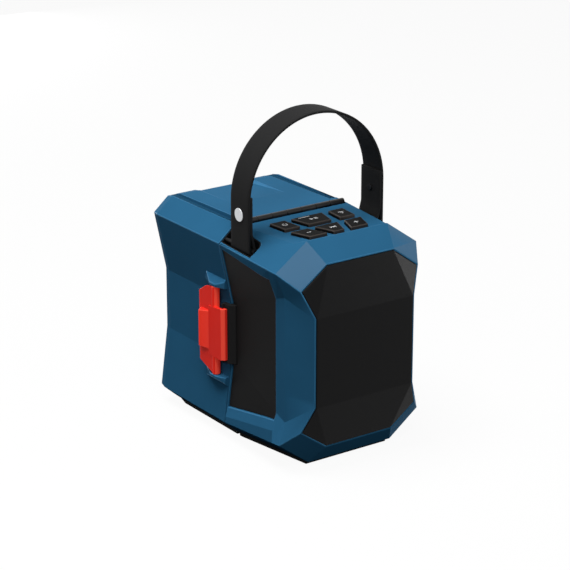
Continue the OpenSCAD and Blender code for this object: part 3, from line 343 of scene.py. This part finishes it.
boardLook = {
    "mask": (0.012, 0.085, 0.035, 1),
    "trace": (0.03, 0.16, 0.07, 1),
    "roughness": 0.35,
    "lacquer": 0.3,
    "pitch": 8.8 * mm,
    "traceWidth": 0.03,
    "relief": 0.3,
    "depth": 0.03 * mm,
}


def makeBoard(look):
    finish = Finish("board", Roughness=look["roughness"], Coat_Weight=look["lacquer"])
    inputs = {"Vector": finish.coords(), "Scale": 1 / look["pitch"], "Mortar Size": look["traceWidth"]}
    trace = finish.add("ShaderNodeTexBrick", None, inputs, output="Fac")
    finish.set("Base Color", finish.mix(trace, look["mask"], look["trace"]))
    finish.bump(trace, look["relief"], look["depth"])
    return finish.material


board = makeBoard(boardLook)
print("materials made:", len(bpy.data.materials))

# Plain pale floor and soft studio light
stageSetup = {
    "floorSize": 14,
    "floorSeen": 0.97,
    "floorBounce": 0.06,
    "glow": 0.94,  # share of plain white in the floor that the camera sees
    "fill": 0.03,
}


def makeFloor(setup):
    bpy.ops.object.select_all(action="DESELECT")
    bpy.ops.mesh.primitive_plane_add(size=setup["floorSize"], location=(0, 0, cadLow.z))
    floor = bpy.context.object
    floor.name = "floor"
    material = bpy.data.materials.new("floorPale")
    material.use_nodes = True
    material.node_tree.nodes.clear()
    sheet = NodeSheet(material.node_tree)
    seen = sheet.seenRays()
    color = sheet.mix(seen, (setup["floorBounce"],) * 3 + (1,), (setup["floorSeen"],) * 3 + (1,))
    diffuse = sheet.add("ShaderNodeBsdfDiffuse", None, {"Color": color})
    glow = sheet.add("ShaderNodeEmission")
    both = sheet.add("ShaderNodeMixShader", None, {0: seen * setup["glow"], 1: diffuse, 2: glow})
    sheet.add("ShaderNodeOutputMaterial", None, {"Surface": both})
    floor.data.materials.append(material)


def makeWorld(setup):
    world = bpy.data.worlds.new("studio")
    bpy.context.scene.world = world
    world.use_nodes = True
    sheet = NodeSheet(world.node_tree)
    background = world.node_tree.nodes["Background"]
    sheet.feed(background.inputs["Color"], (1, 1, 1, 1))
    sheet.feed(background.inputs["Strength"], setup["fill"] + sheet.seenRays() * (1 - setup["fill"]))


lamps = {
    "keyAbove": {"place": (-0.38, 0.11, 1.40), "size": (0.8, 0.8), "power": 16.8},
    "frontUpper": {"place": (-0.393, -0.787, 1.195), "size": (0.35, 0.35), "power": 4.4},
    "frontLeft": {"place": (-0.95, -0.65, 0.75), "size": (0.5, 0.5), "power": 2.4},
    "sideRight": {"place": (1.02, -0.78, 0.16), "size": (0.2, 0.3), "power": 4.8},
    "rearSoft": {"place": (0.15, 1.45, 0.14), "size": (0.8, 0.5), "power": 7.5},
}
lampTarget = Vector((0, 0, 0.10))


def makeLamp(name, lamp):
    place = Vector(lamp["place"])
    bpy.ops.object.light_add(type="AREA", location=place)
    light = bpy.context.object
    light.name = name
    light.rotation_euler = (place - lampTarget).to_track_quat("Z", "Y").to_euler()
    light.data.shape = "RECTANGLE"
    light.data.size, light.data.size_y = lamp["size"]
    light.data.energy = lamp["power"]


makeFloor(stageSetup)
makeWorld(stageSetup)
for lampName, lampValues in lamps.items():
    makeLamp(lampName, lampValues)
bpy.context.scene.view_settings.view_transform = "Standard"
print("stage set")

# Tools for shaping pieces
facing = 0.9  # least part of a normal along an axis for a face that looks along it
nearby = 0.1  # mm, for faces and corners found by their place
cleaning = {"merge": 0.02, "flat": 0.4}  # mm between corners and degrees between faces that are made one
smoothing = {"angle": 40, "weight": 100}


def doneEditing():
    bpy.ops.object.mode_set(mode="OBJECT")


def deselectAll():
    if bpy.context.object and bpy.context.object.mode != "OBJECT":
        doneEditing()
    bpy.ops.object.select_all(action="DESELECT")


def makeActive(piece):
    deselectAll()
    piece.select_set(True)
    bpy.context.view_layer.objects.active = piece


def editing(piece, how="EDGE"):
    makeActive(piece)
    bpy.ops.object.mode_set(mode="EDIT")
    bpy.ops.mesh.select_mode(type=how)


def pickFaces(piece, test):
    editing(piece, "FACE")
    bpy.ops.mesh.select_all(action="DESELECT")
    edit = bmesh.from_edit_mesh(piece.data)
    for face in edit.faces:
        if test(face.calc_center_median() / mm, face.normal):
            face.select_set(True)
    bmesh.update_edit_mesh(piece.data)


def bisectAt(axis, place):
    bpy.ops.mesh.bisect(plane_co=[part * place * mm for part in axis], plane_no=axis)


def insetFaces(thickness, depth=0):
    bpy.ops.mesh.inset(use_individual=True, thickness=thickness * mm, depth=depth * mm)


def applyModifier(piece, kind, settings):
    makeActive(piece)
    modifier = piece.modifiers.new(kind.lower(), kind)
    for key, value in settings.items():
        setattr(modifier, key, value)
    bpy.ops.object.modifier_apply(modifier=modifier.name)


def cleanMesh(piece):
    editing(piece)
    bpy.ops.mesh.select_all(action="SELECT")
    bpy.ops.mesh.remove_doubles(threshold=cleaning["merge"] * mm)
    bpy.ops.mesh.dissolve_limited(angle_limit=math.radians(cleaning["flat"]))
    doneEditing()


def copyNode(node, name):
    piece = bpy.data.objects.new(name, frame["nodes"][node].data.copy())
    bpy.context.scene.collection.objects.link(piece)
    makeActive(piece)
    bpy.ops.mesh.customdata_custom_splitnormals_clear()
    cleanMesh(piece)
    piece.data.materials.clear()
    return piece


# A broken edge takes a share of the room beside it, and stays sharp where that is too little to see
breaking = {
    "share": 0.4,
    "least": 0.08,
    "widestRoom": 10,
    "endSlack": 0.1,
    "alongside": 0.9,  # edges that run on in nearly the same line leave the room as it is
    "segments": 3,
}


def edgeRoom(edge):
    foot = edge.verts[0].co
    run = edge.verts[1].co - foot
    along = run.normalized()
    slack = breaking["endSlack"] * mm
    room = breaking["widestRoom"] * mm
    for face in edge.link_faces:
        for vert in face.verts:
            reach = (vert.co - foot).dot(along)
            gap = (vert.co - foot - along * reach).length
            if gap > cleaning["merge"] * mm and -slack < reach < run.length + slack:
                room = min(room, gap)
    for end in edge.verts:
        for other in end.link_edges:
            way = (other.other_vert(end).co - end.co).normalized()
            if abs(way.dot(along)) < breaking["alongside"]:
                room = min(room, other.calc_length())
    return room


def breakEdges(piece, width, minAngle, crease=180, keptSharp=None):
    editing(piece)
    edit = bmesh.from_edit_mesh(piece.data)
    weights = edit.edges.layers.float.new("bevel_weight_edge")
    for edge in edit.edges:
        turn = math.degrees(edge.calc_face_angle(0))
        if len(edge.link_faces) != 2 or turn < min(minAngle, crease):
            continue
        share = 0
        if turn >= minAngle and edge.is_convex and not (keptSharp and keptSharp(edge)):
            share = min(1, breaking["share"] * edgeRoom(edge) / width)
        if share * width < breaking["least"] * mm:
            share = 0
            edge.smooth = False
        edge[weights] = share
    bmesh.update_edit_mesh(piece.data)
    # Bevel faces take material slot 1, the edge finish, which on most pieces is lighter than the main one: a
    # painted highlight along the broken edges
    applyModifier(piece, "BEVEL", {
        "limit_method": "WEIGHT",
        "width": width,
        "segments": breaking["segments"],
        "use_clamp_overlap": False,
        "material": 1,
    })


def smoothFlats(piece):
    makeActive(piece)
    bpy.ops.object.shade_smooth_by_angle(angle=math.radians(smoothing["angle"]), keep_sharp_edges=True)
    applyModifier(piece, "WEIGHTED_NORMAL", {"keep_sharp": True, "weight": smoothing["weight"]})


def standFor(piece, node):
    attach(piece, frame["nodes"][node]["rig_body"])
    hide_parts(node)


# Edges of the shells that stay sharp: along the seam, near the floor and round the key panel
seamEdges = {"low": 0.5, "high": 2.5, "below": 160}
groundEdges = {"below": 25}
panelRim = {"above": 175.5, "front": -74, "rear": 0.5, "outside": 30}


def inSeam(edge):
    low, high, below = [seamEdges[key] * mm for key in ("low", "high", "below")]
    return all(low < v.co.y < high and v.co.z < below for v in edge.verts)


def nearGround(edge):
    return inSeam(edge) or all(v.co.z < groundEdges["below"] * mm for v in edge.verts)


def sharpOnHousing(edge):
    above, front, rear, outside = [panelRim[key] * mm for key in ("above", "front", "rear", "outside")]
    onRim = [v.co.z > above and front < v.co.y < rear for v in edge.verts]
    return nearGround(edge) or all(onRim) or (any(onRim) and abs(edge.verts[0].co.x) > outside)


# Front housing: four-cornered facets that the node splits along a diagonal are made whole, each side wall
# is cut where its dark rail begins, and a sill is raised under each side panel
twistedFacets = [  # ends of the diagonals on the right-hand side
    ((66.0, -78.5, 23.7), (46.3, -96.9, 56.0)),
    ((55.0, -89.9, 148.0), (57.3, -73.5, 139.0)),
    ((50.0, 1.0, 3.5), (65.5, -67.8, 22.4)),
    ((39.0, -78.5, 3.5), (54.7, -89.9, 34.8)),
]
cornerSlack = 0.3
sideWalls = {"turn": 0.85, "outside": 50}
windowRail = {"front": -0.2, "low": 62, "high": 160}  # between each side panel and the seam
sillLook = {
    "rearEnd": (1.0, 19.3),  # the line along which the wall stands out under each side panel, in (y, z)
    "frontEnd": (-65.9, 31.1),
    "rise": [(-0.2, 1.3), (-19.1, 2.0), (-65.9, 1.8)],  # how far it stands out at places in y
    "slack": (0.1, 0.5),  # behind and before those places
    "outside": 60,
    "creases": [
        ((60.5, -19.1, 22.8), (58.4, -46.0, 34.7)),
        ((60.5, -19.1, 22.8), (61.9, -0.2, 14.5)),
    ],
    "wall": {"outside": 57.5, "front": -55, "rear": -0.3, "below": 40},
}
facetNormal = Vector((0.42, -0.683, 0.598))  # the two large facets at the top corners of the front
facetMatch = 0.995
hingeTrough = {"half": 48.8, "front": -6.3, "rear": 1.1, "low": 171, "high": 175.8}
undersideTurn = -0.5


def sideWall(center, normal):
    return abs(normal.x) > sideWalls["turn"] and abs(center.x) > sideWalls["outside"]


def underPanel(center, normal):
    wall = sillLook["wall"]
    inside = wall["front"] < center.y < wall["rear"] and center.z < wall["below"]
    return inside and abs(normal.x) > facing and abs(center.x) > wall["outside"]


def onWindowRail(center, normal):
    rail = windowRail
    return sideWall(center, normal) and center.y > rail["front"] and rail["low"] < center.z < rail["high"]


def onFacet(center, normal):
    return Vector((abs(normal.x), normal.y, normal.z)).dot(facetNormal) > facetMatch


# The hinge trough is painted black: painted shade round the hinge bar
def inTroughShade(center, normal):
    trough = hingeTrough
    across = abs(center.x) < trough["half"] and trough["front"] < center.y < trough["rear"]
    return across and trough["low"] < center.z < trough["high"]


# Faces under the shells, which are painted a darker blue as painted shade
def onUndersideShade(center, normal):
    return normal.z < undersideTurn and center.z < groundEdges["below"]


def joinAcross(piece, diagonals):
    editing(piece)
    bpy.ops.mesh.select_all(action="DESELECT")
    edit = bmesh.from_edit_mesh(piece.data)
    for edge in edit.edges:
        ends = [Vector((abs(v.co.x), v.co.y, v.co.z)) / mm for v in edge.verts]
        for one, other in diagonals:
            for pair in ((one, other), (other, one)):
                if all((end - Vector(corner)).length < cornerSlack for end, corner in zip(ends, pair)):
                    edge.select_set(True)
    bmesh.update_edit_mesh(piece.data)
    bpy.ops.mesh.dissolve_edges(use_verts=False)
    doneEditing()


def sillRise(y, sill):
    behind, before = sill["slack"]
    rise = 0
    for (y0, rise0), (y1, rise1) in zip(sill["rise"], sill["rise"][1:]):
        if y1 - before <= y <= y0 + behind:
            share = min(1, max(0, (y - y0) / (y1 - y0)))
            rise = rise0 + share * (rise1 - rise0)
    return rise


def raiseSill(piece, sill):
    (rearY, rearZ), (frontY, frontZ) = sill["rearEnd"], sill["frontEnd"]
    across = Vector((0, frontZ - rearZ, rearY - frontY)).normalized()
    foot = Vector((0, rearY, rearZ))
    pickFaces(piece, underPanel)
    bpy.ops.mesh.bisect(plane_co=foot * mm, plane_no=across)
    joinAcross(piece, sill["creases"])
    for vert in piece.data.vertices:
        place = vert.co / mm
        if abs((place - foot).dot(across)) < nearby / 2 and abs(place.x) > sill["outside"]:
            vert.co.x += math.copysign(sillRise(place.y, sill) * mm, place.x)


def shapeHousing(piece, sill):
    joinAcross(piece, twistedFacets)
    for axis, place in (((0, 1, 0), windowRail["front"]), ((0, 0, 1), windowRail["low"])):
        pickFaces(piece, sideWall)
        bisectAt(axis, place)
    doneEditing()
    raiseSill(piece, sill)


# Rear cover: the scoop in its deck has sloping walls, painted in the lighter edge blue as a painted
# highlight, and the channels, whose floors are painted a darker blue as painted shade, run out at the rear
# edge
scoopLook = {"half": 25, "slope": 2.2, "deepFrom": 92, "low": 171, "high": 173}
channelLook = {"inner": 43.2, "outer": 50.2, "front": 8.0, "rear": 100, "floor": 173.2, "top": 182}


def inChannelShade(center, normal):
    onFloor = normal.z > facing and abs(center.z - channelLook["floor"]) < nearby
    return onFloor and abs(center.x) > channelLook["inner"]


def cutChannels(piece, look):
    sides = [(look["inner"], look["outer"]), (look["front"], look["rear"]), (look["floor"], look["top"])]
    across, along, up = [(low + high) / 2 for low, high in sides]
    for hand in (-1, 1):
        deselectAll()
        bpy.ops.mesh.primitive_cube_add(size=1, location=Vector((hand * across, along, up)) * mm)
        cutter = bpy.context.object
        cutter.scale = [(high - low) * mm for low, high in sides]
        applyModifier(piece, "BOOLEAN", {"operation": "DIFFERENCE", "solver": "EXACT", "object": cutter})
        makeActive(cutter)
        bpy.ops.object.delete()
    cleanMesh(piece)


def slopeScoop(piece, look):
    editing(piece, "FACE")
    edit = bmesh.from_edit_mesh(piece.data)
    walls = set()
    for vert in edit.verts:
        if abs(abs(vert.co.x) - look["half"] * mm) > nearby / 2 * mm or vert.co.z < look["low"] * mm:
            continue
        walls.update(f for f in vert.link_faces if abs(f.normal.x) > facing)
        if vert.co.y > look["deepFrom"] * mm and vert.co.z < look["high"] * mm:
            vert.co.x -= math.copysign(look["slope"] * mm, vert.co.x)
    # the scoop's walls take slot 1, the lighter edge blue: a painted highlight
    for face in walls:
        face.material_index = 1
    bmesh.update_edit_mesh(piece.data)
    doneEditing()


def shapeDeck(piece, looks):
    scoop, channel = looks
    cutChannels(piece, channel)
    slopeScoop(piece, scoop)


# Latches: the folded lip, the rounded front of the barrel round the pin, and the pad for the thumb, which
# are painted a lighter, glowing red as painted highlights
latchFaces = {
    "lipTurn": 0.6,
    "barrelTurn": 0.7,
    "barrel": (10, 12),  # front and rear in y
    "padSide": 0.95,
    "padTurn": (-0.3, -0.15),
}


def onLatchLipHighlight(center, normal):
    return normal.y < -latchFaces["lipTurn"] and abs(normal.x) > latchFaces["lipTurn"]


def onLatchBarrelHighlight(center, normal):
    front, rear = latchFaces["barrel"]
    return normal.y < -latchFaces["barrelTurn"] and front < center.y < rear


def onThumbPadHighlight(center, normal):
    low, high = latchFaces["padTurn"]
    return abs(normal.x) > latchFaces["padSide"] and low < normal.y < high


# Keys, whose front slopes are painted lighter as a painted highlight, and snaps, whose backs are black
keyFrontTurn = -0.5
snapBack = 61


def onKeyFrontHighlight(center, normal):
    return normal.y < keyFrontTurn


def behindStrap(center, normal):
    return abs(center.x) < snapBack


# Seal: a soft lip on its rear face closes the seam
sealLip = {"face": 1.7, "lip": 1.95}


def swellSeal(piece, seal):
    for vert in piece.data.vertices:
        if abs(vert.co.y - seal["face"] * mm) < nearby / 2 * mm:
            vert.co.y = seal["lip"] * mm


# Battery pack: ribbed grips in both sides and a recess in the rear
packGrip = {"sideInset": 6, "rearInset": 5, "depth": 0.8, "strips": 9, "ribInset": 0.9, "ribRise": 0.6}


def gripPack(piece, grip):
    low, high = [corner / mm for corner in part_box("battery_pack")]
    bottom, top = low.z + grip["sideInset"], high.z - grip["sideInset"]
    step = (top - bottom) / grip["strips"]
    sunk = high.x - grip["depth"]

    def onSide(center, normal):
        return abs(normal.x) > facing and abs(center.x) > high.x - nearby

    def onRear(center, normal):
        return normal.y > facing and center.y > high.y - nearby

    def inGrip(center, normal):
        atFloor = abs(normal.x) > facing and abs(abs(center.x) - sunk) < nearby / 2
        return atFloor and bottom < center.z < top

    def onRib(center, normal):
        return inGrip(center, normal) and int((center.z - bottom) / step) % 2 == 1

    pickFaces(piece, onSide)
    insetFaces(grip["sideInset"], -grip["depth"])
    for cut in range(1, grip["strips"]):
        pickFaces(piece, inGrip)
        bisectAt((0, 0, 1), bottom + cut * step)
    pickFaces(piece, onRib)
    insetFaces(grip["ribInset"], grip["ribRise"])
    pickFaces(piece, onRear)
    insetFaces(grip["rearInset"], -grip["depth"])
    doneEditing()


# Screws of the bulkhead: a socket in each head
screwSocket = {"rim": 1.4, "taper": 0.15, "depth": 0.9}


def sinkSockets(piece, socket):
    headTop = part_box("bulkhead_screws")[1].y / mm
    pickFaces(piece, lambda center, normal: normal.y > facing and center.y > headTop - nearby / 2)
    insetFaces(socket["rim"])
    insetFaces(socket["taper"], -socket["depth"])
    doneEditing()


# Feet: their ends run on under the shell, by reach from a place in y, and by less at the floor
feetLip = 3.4  # top of the part of a foot that shows
frontFeetEnds = [{"way": 1, "place": -3.0, "reach": 3.4, "taper": 0.5}]
rearFootEnds = [
    {"way": -1, "place": 6.0, "reach": 3.4, "taper": 0.5},
    {"way": 1, "place": 78.0, "reach": 10.5, "taper": 9.0},
]


def growEnds(piece, ends):
    editing(piece, "FACE")
    bpy.ops.mesh.select_all(action="SELECT")
    bisectAt((0, 0, 1), feetLip)
    for end in ends:
        way, place = end["way"], end["place"]
        pickFaces(piece, lambda c, n: n.y * way > facing and abs(c.y - place) < nearby and c.z < feetLip)
        bpy.ops.mesh.extrude_region_move(TRANSFORM_OT_translate={"value": (0, way * end["reach"] * mm, 0)})
        edit = bmesh.from_edit_mesh(piece.data)
        for vert in edit.verts:
            if vert.select and vert.co.z < nearby * mm:
                vert.co.y -= way * end["taper"] * mm
        bmesh.update_edit_mesh(piece.data)
    doneEditing()


# Moulded pieces: the node's own faces with broken edges, width in mm, on corners from minAngle degrees
shellLook = {"main": blueShell, "edge": blueEdgeHighlight, "width": 0.7, "minAngle": 30, "crease": 4}
panelLook = {"main": blackPlastic, "edge": blackEdgeHighlight, "width": 0.4, "minAngle": 40}
footLook = {"main": rubber, "edge": rubber, "width": 0.6, "minAngle": 30}
leafLook = {"main": hingeBlack, "edge": hingeBlack, "width": 0.3, "minAngle": 40}
catchLook = {"main": catchBlackLightened, "edge": catchBlackLightened, "width": 0.4, "minAngle": 20}
latchLook = {
    "main": redPlastic, "edge": redEdgeHighlight, "width": 0.6, "minAngle": 20,
    "faces": [(onLatchLipHighlight, redEdgeHighlight), (onLatchBarrelHighlight, redEdgeHighlight), (onThumbPadHighlight, redPadHighlight)],
}
keyLook = {
    "main": keyPlastic, "edge": keyEdgeHighlight, "width": 0.8, "minAngle": 30,
    "faces": [(onKeyFrontHighlight, keyEdgeHighlight)],
}
mouldings = {
    "front_housing": {
        **shellLook, "keptSharp": sharpOnHousing, "shape": (shapeHousing, sillLook),
        "faces": [
            (onFacet, blueFacet), (inTroughShade, blackPlastic),
            (onWindowRail, blackPlastic), (onUndersideShade, blueUnderShade),
        ],
    },
    "rear_cover": {
        **shellLook, "keptSharp": nearGround, "shape": (shapeDeck, (scoopLook, channelLook)),
        "faces": [(inChannelShade, blueGrooveShade), (onUndersideShade, blueUnderShade)],
    },
    "side_panel_left": panelLook,
    "side_panel_right": panelLook,
    "latch_left": latchLook,
    "latch_right": latchLook,
    "battery_pack": {
        "main": packPlastic, "edge": packEdgeHighlight, "width": 1.2, "minAngle": 20,
        "shape": (gripPack, packGrip),
    },
    "front_feet": {**footLook, "shape": (growEnds, frontFeetEnds)},
    "rear_foot": {**footLook, "shape": (growEnds, rearFootEnds)},
    "strap_snaps": {
        "main": snapSteel, "edge": snapSteel, "width": 0.35, "minAngle": 40,
        "faces": [(behindStrap, pinBlack)], "paintEdges": True,
    },
    "hinge_fixed_leaf": leafLook,
    "hinge_moving_leaf": leafLook,
    "latch_catch_left": catchLook,
    "latch_catch_right": catchLook,
    "bulkhead_screws": {
        "main": steel, "edge": steel, "width": 0.3, "minAngle": 40,
        "shape": (sinkSockets, screwSocket),
    },
    "cover_seal": {
        "main": rubber, "edge": rubber, "width": 0.2, "minAngle": 40,
        "shape": (swellSeal, sealLip),
    },
    "power_key": keyLook,
    "play_key": keyLook,
    "pair_key": keyLook,
    "volume_down_key": keyLook,
    "skip_key": keyLook,
    "volume_up_key": keyLook,
}


def paintFaces(piece, faces):
    for index, (test, material) in enumerate(faces, 2):
        for face in piece.data.polygons:
            if test(face.center / mm, face.normal):
                face.material_index = index


def makeMoulding(node, spec):
    piece = copyNode(node, node + "_moulded")
    faces = spec.get("faces", [])
    for material in [spec["main"], spec["edge"]] + [material for test, material in faces]:
        piece.data.materials.append(material)
    if "shape" in spec:
        tool, values = spec["shape"]
        tool(piece, values)
    paintFaces(piece, faces)
    keptSharp = spec.get("keptSharp", inSeam)
    breakEdges(piece, spec["width"] * mm, spec["minAngle"], spec.get("crease", 180), keptSharp)
    if "paintEdges" in spec:
        paintFaces(piece, faces)
    smoothFlats(piece)
    standFor(piece, node)


for mouldingNode, mouldingSpec in mouldings.items():
    makeMoulding(mouldingNode, mouldingSpec)
print("mouldings made:", len(mouldings))

# Raised signs on the keys, each stroke laid out from the middle of its key:
# bar x, y, width, height; arrow x, y, radius; ring x, y, radius, stroke, start, sweep
keySigns = {
    "power_key": [("ring", 0, 0, 2.2, 0.6, 125, 290), ("bar", 0, 1.6, 0.6, 2.2)],
    "play_key": [
        ("arrow", -2.0, 0, 1.9), ("bar", 1.6, 0, 0.8, 3.2), ("bar", 3.1, 0, 0.8, 3.2),
        ("bar", -4.5, 6.4, 10, 0.6),  # the light bar
    ],
    "pair_key": [
        ("ring", 0, -1.6, 0.7, 0.6, 0, 360), ("ring", 0, -1.6, 2.2, 0.6, 45, 90),
        ("ring", 0, -1.6, 3.6, 0.6, 45, 90),
    ],
    "volume_down_key": [("bar", 0, 0, 3.8, 0.8)],
    "skip_key": [("arrow", -1.5, 0, 1.6), ("arrow", 0.9, 0, 1.6), ("bar", 2.5, 0, 0.7, 2.8)],
    "volume_up_key": [("bar", 0, 0, 3.8, 0.8), ("bar", 0, 1.15, 0.8, 1.5), ("bar", 0, -1.15, 0.8, 1.5)],
}
signRelief = {"sunk": 0.05, "thickness": 0.2, "ringCorners": 48}


def signBar(x, y, width, height):
    bpy.ops.mesh.primitive_plane_add(size=1, location=(x * mm, y * mm, 0))
    bpy.context.object.scale = (width * mm, height * mm, 1)


def signDisc(x, y, radius, corners):
    place = (x * mm, y * mm, 0)
    bpy.ops.mesh.primitive_circle_add(vertices=corners, radius=radius * mm, fill_type="NGON", location=place)
    return bpy.context.object


def signArrow(x, y, radius):
    signDisc(x, y, radius, 3).rotation_euler.z = -math.pi / 2


def signRing(x, y, radius, stroke, start, sweep):
    piece = signDisc(x, y, radius, signRelief["ringCorners"])
    editing(piece, "FACE")
    bpy.ops.mesh.select_all(action="SELECT")
    bpy.ops.mesh.inset(thickness=stroke * mm)
    bpy.ops.mesh.delete(type="FACE")
    edit = bmesh.from_edit_mesh(piece.data)
    for face in edit.faces:
        middle = face.calc_center_median()
        face.select_set((math.degrees(math.atan2(middle.y, middle.x)) - start) % 360 > sweep)
    bmesh.update_edit_mesh(piece.data)
    bpy.ops.mesh.delete(type="FACE")
    doneEditing()


signTools = {"bar": signBar, "arrow": signArrow, "ring": signRing}


def makeSign(node, strokes, relief):
    low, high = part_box(node)
    middle = Vector(((low.x + high.x) / 2, (low.y + high.y) / 2, high.z - relief["sunk"] * mm))
    parts = []
    for tool, *values in strokes:
        deselectAll()
        signTools[tool](*values)
        part = bpy.context.object
        part.location += middle
        bpy.ops.object.transform_apply(location=True, rotation=True, scale=True)
        parts.append(part)
    sign = parts[0]
    makeActive(sign)
    if len(parts) > 1:
        for part in parts:
            part.select_set(True)
        bpy.ops.object.join()
    sign.name = node + "_sign"
    applyModifier(sign, "SOLIDIFY", {"thickness": relief["thickness"] * mm, "offset": 1})
    sign.data.materials.append(signWhite)
    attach(sign, frame["nodes"][node]["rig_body"])


for signNode, signStrokes in keySigns.items():
    makeSign(signNode, signStrokes, signRelief)
print("key signs made:", len(keySigns))

# Acoustic cloth, drawn tight over its frame
grilleCloth = {"edgeRound": 0.45, "minAngle": 3}


def makeGrilleCloth(spec):
    piece = copyNode("grille_cloth", "grille_cloth_stretched")
    for _ in ("face", "edge"):
        piece.data.materials.append(acousticCloth)
    breakEdges(piece, spec["edgeRound"] * mm, spec["minAngle"])
    smoothFlats(piece)
    standFor(piece, "grille_cloth")


makeGrilleCloth(grilleCloth)
print("grille cloth made")

# Carry strap: one length of webbing, folded back on itself at both anchor pins
strapSpec = {
    "layer": 2,  # from the middle of one layer to the next
    "thickness": 1.9,
    "foldRise": 42,  # height of the folded layer above the pins
    "meetRise": 13,  # height at which it lies against the outer layer
    "cutsAcross": 7,
    "foldSteps": 6,
    "meetSteps": 4,
    "loopSteps": 14,
    "legSteps": 10,
    "archSteps": 64,
    "edgeRound": 0.45,
    "roundSegments": 2,
    "roundAngle": 60,
    "smoothAngle": 50,
}


def startStrap(spec, low, high, start):
    deselectAll()
    bpy.ops.mesh.primitive_plane_add(size=high.y - low.y, location=(0, 0, 0))
    piece = bpy.context.object
    piece.name = "strap_webbing"
    editing(piece, "VERT")
    bpy.ops.mesh.select_all(action="DESELECT")
    edit = bmesh.from_edit_mesh(piece.data)
    for vert in edit.verts:
        vert.select_set(vert.co.x > 0)
    bmesh.update_edit_mesh(piece.data)
    bpy.ops.mesh.delete(type="VERT")
    edit = bmesh.from_edit_mesh(piece.data)
    for vert in edit.verts:
        vert.co = Vector((start.x, (low.y + high.y) / 2 + vert.co.y, start.z))
    bmesh.update_edit_mesh(piece.data)
    bpy.ops.mesh.select_all(action="SELECT")
    bpy.ops.mesh.subdivide(number_cuts=spec["cutsAcross"])
    bpy.ops.mesh.select_mode(type="EDGE")
    return piece


def layWeave(piece, low, width, archZ, radius):
    uv = piece.data.uv_layers.new(name="weave")
    for loop in piece.data.loops:
        co = piece.data.vertices[loop.vertex_index].co
        along = co.z
        if co.z >= archZ:
            along = archZ + radius * math.atan2(co.z - archZ, abs(co.x))
        uv.data[loop.index].uv = ((co.y - low.y) / width, along / width)


def makeStrap(spec):
    low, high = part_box("strap")
    pinLow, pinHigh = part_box("strap_pins")
    pinX = pinHigh.x - (pinHigh.z - pinLow.z) / 2
    pinZ = (pinHigh.z + pinLow.z) / 2
    outX = high.x - spec["layer"] * mm / 2
    innerX = outX - spec["layer"] * mm
    loopX = 2 * pinX - outX
    archZ = high.z - high.x
    foldZ = pinZ + spec["foldRise"] * mm
    meetZ = pinZ + spec["meetRise"] * mm
    here = Vector((innerX, 0, foldZ))  # the free end of the folded layer, on the right
    piece = startStrap(spec, low, high, here)

    def extrudeTo(x, z, steps):
        nonlocal here
        goal = Vector((x, 0, z))
        step = (goal - here) / steps
        for _ in range(steps):
            bpy.ops.mesh.extrude_region_move(TRANSFORM_OT_translate={"value": step})
        here = goal

    def turnAbout(x, z, steps):
        nonlocal here
        bpy.ops.mesh.spin(steps=steps, angle=math.pi, center=(x, 0, z), axis=(0, 1, 0))
        here = 2 * Vector((x, 0, z)) - here

    extrudeTo(innerX, meetZ, spec["foldSteps"])
    extrudeTo(loopX, pinZ, spec["meetSteps"])
    turnAbout(pinX, pinZ, spec["loopSteps"])
    extrudeTo(outX, archZ, spec["legSteps"])
    turnAbout(0, archZ, spec["archSteps"])
    extrudeTo(-outX, pinZ, spec["legSteps"])
    turnAbout(-pinX, pinZ, spec["loopSteps"])
    extrudeTo(-innerX, meetZ, spec["meetSteps"])
    extrudeTo(-innerX, foldZ, spec["foldSteps"])
    doneEditing()
    layWeave(piece, low, high.y - low.y, archZ, outX)
    applyModifier(piece, "SOLIDIFY", {"thickness": spec["thickness"] * mm, "offset": 0})
    applyModifier(piece, "BEVEL", {
        "width": spec["edgeRound"] * mm,
        "segments": spec["roundSegments"],
        "limit_method": "ANGLE",
        "angle_limit": math.radians(spec["roundAngle"]),
    })
    bpy.ops.object.shade_smooth_by_angle(angle=math.radians(spec["smoothAngle"]))
    piece.data.materials.append(webbing)
    standFor(piece, "strap")


makeStrap(strapSpec)
print("strap made")

# Finishes of the nodes that keep their own mesh
nodeFinishes = {
    "grille_frame": blackPlastic,
    "baffle": blackPlastic,
    "bulkhead": blackPlastic,
    "pack_rail": blackPlastic,
    "woofer_basket": blackPlastic,
    "woofer_magnet": magnetSteel,
    "woofer_surround": rubber,
    "woofer_cone": conePaper,
    "main_board": board,
    "key_board": board,
    "key_switches": steel,
    "status_light": lightPipe,
    "hinge_pin": steel,
    "latch_pin_left": steel,
    "latch_pin_right": steel,
    "strap_anchor_left": blackPlastic,
    "strap_anchor_right": blackPlastic,
    "strap_pins": pinBlack,
    "pack_contacts": steel,
}
for node, material in nodeFinishes.items():
    frame["nodes"][node].data.materials.clear()
    frame["nodes"][node].data.materials.append(material)
print("nodes finished:", len(nodeFinishes))
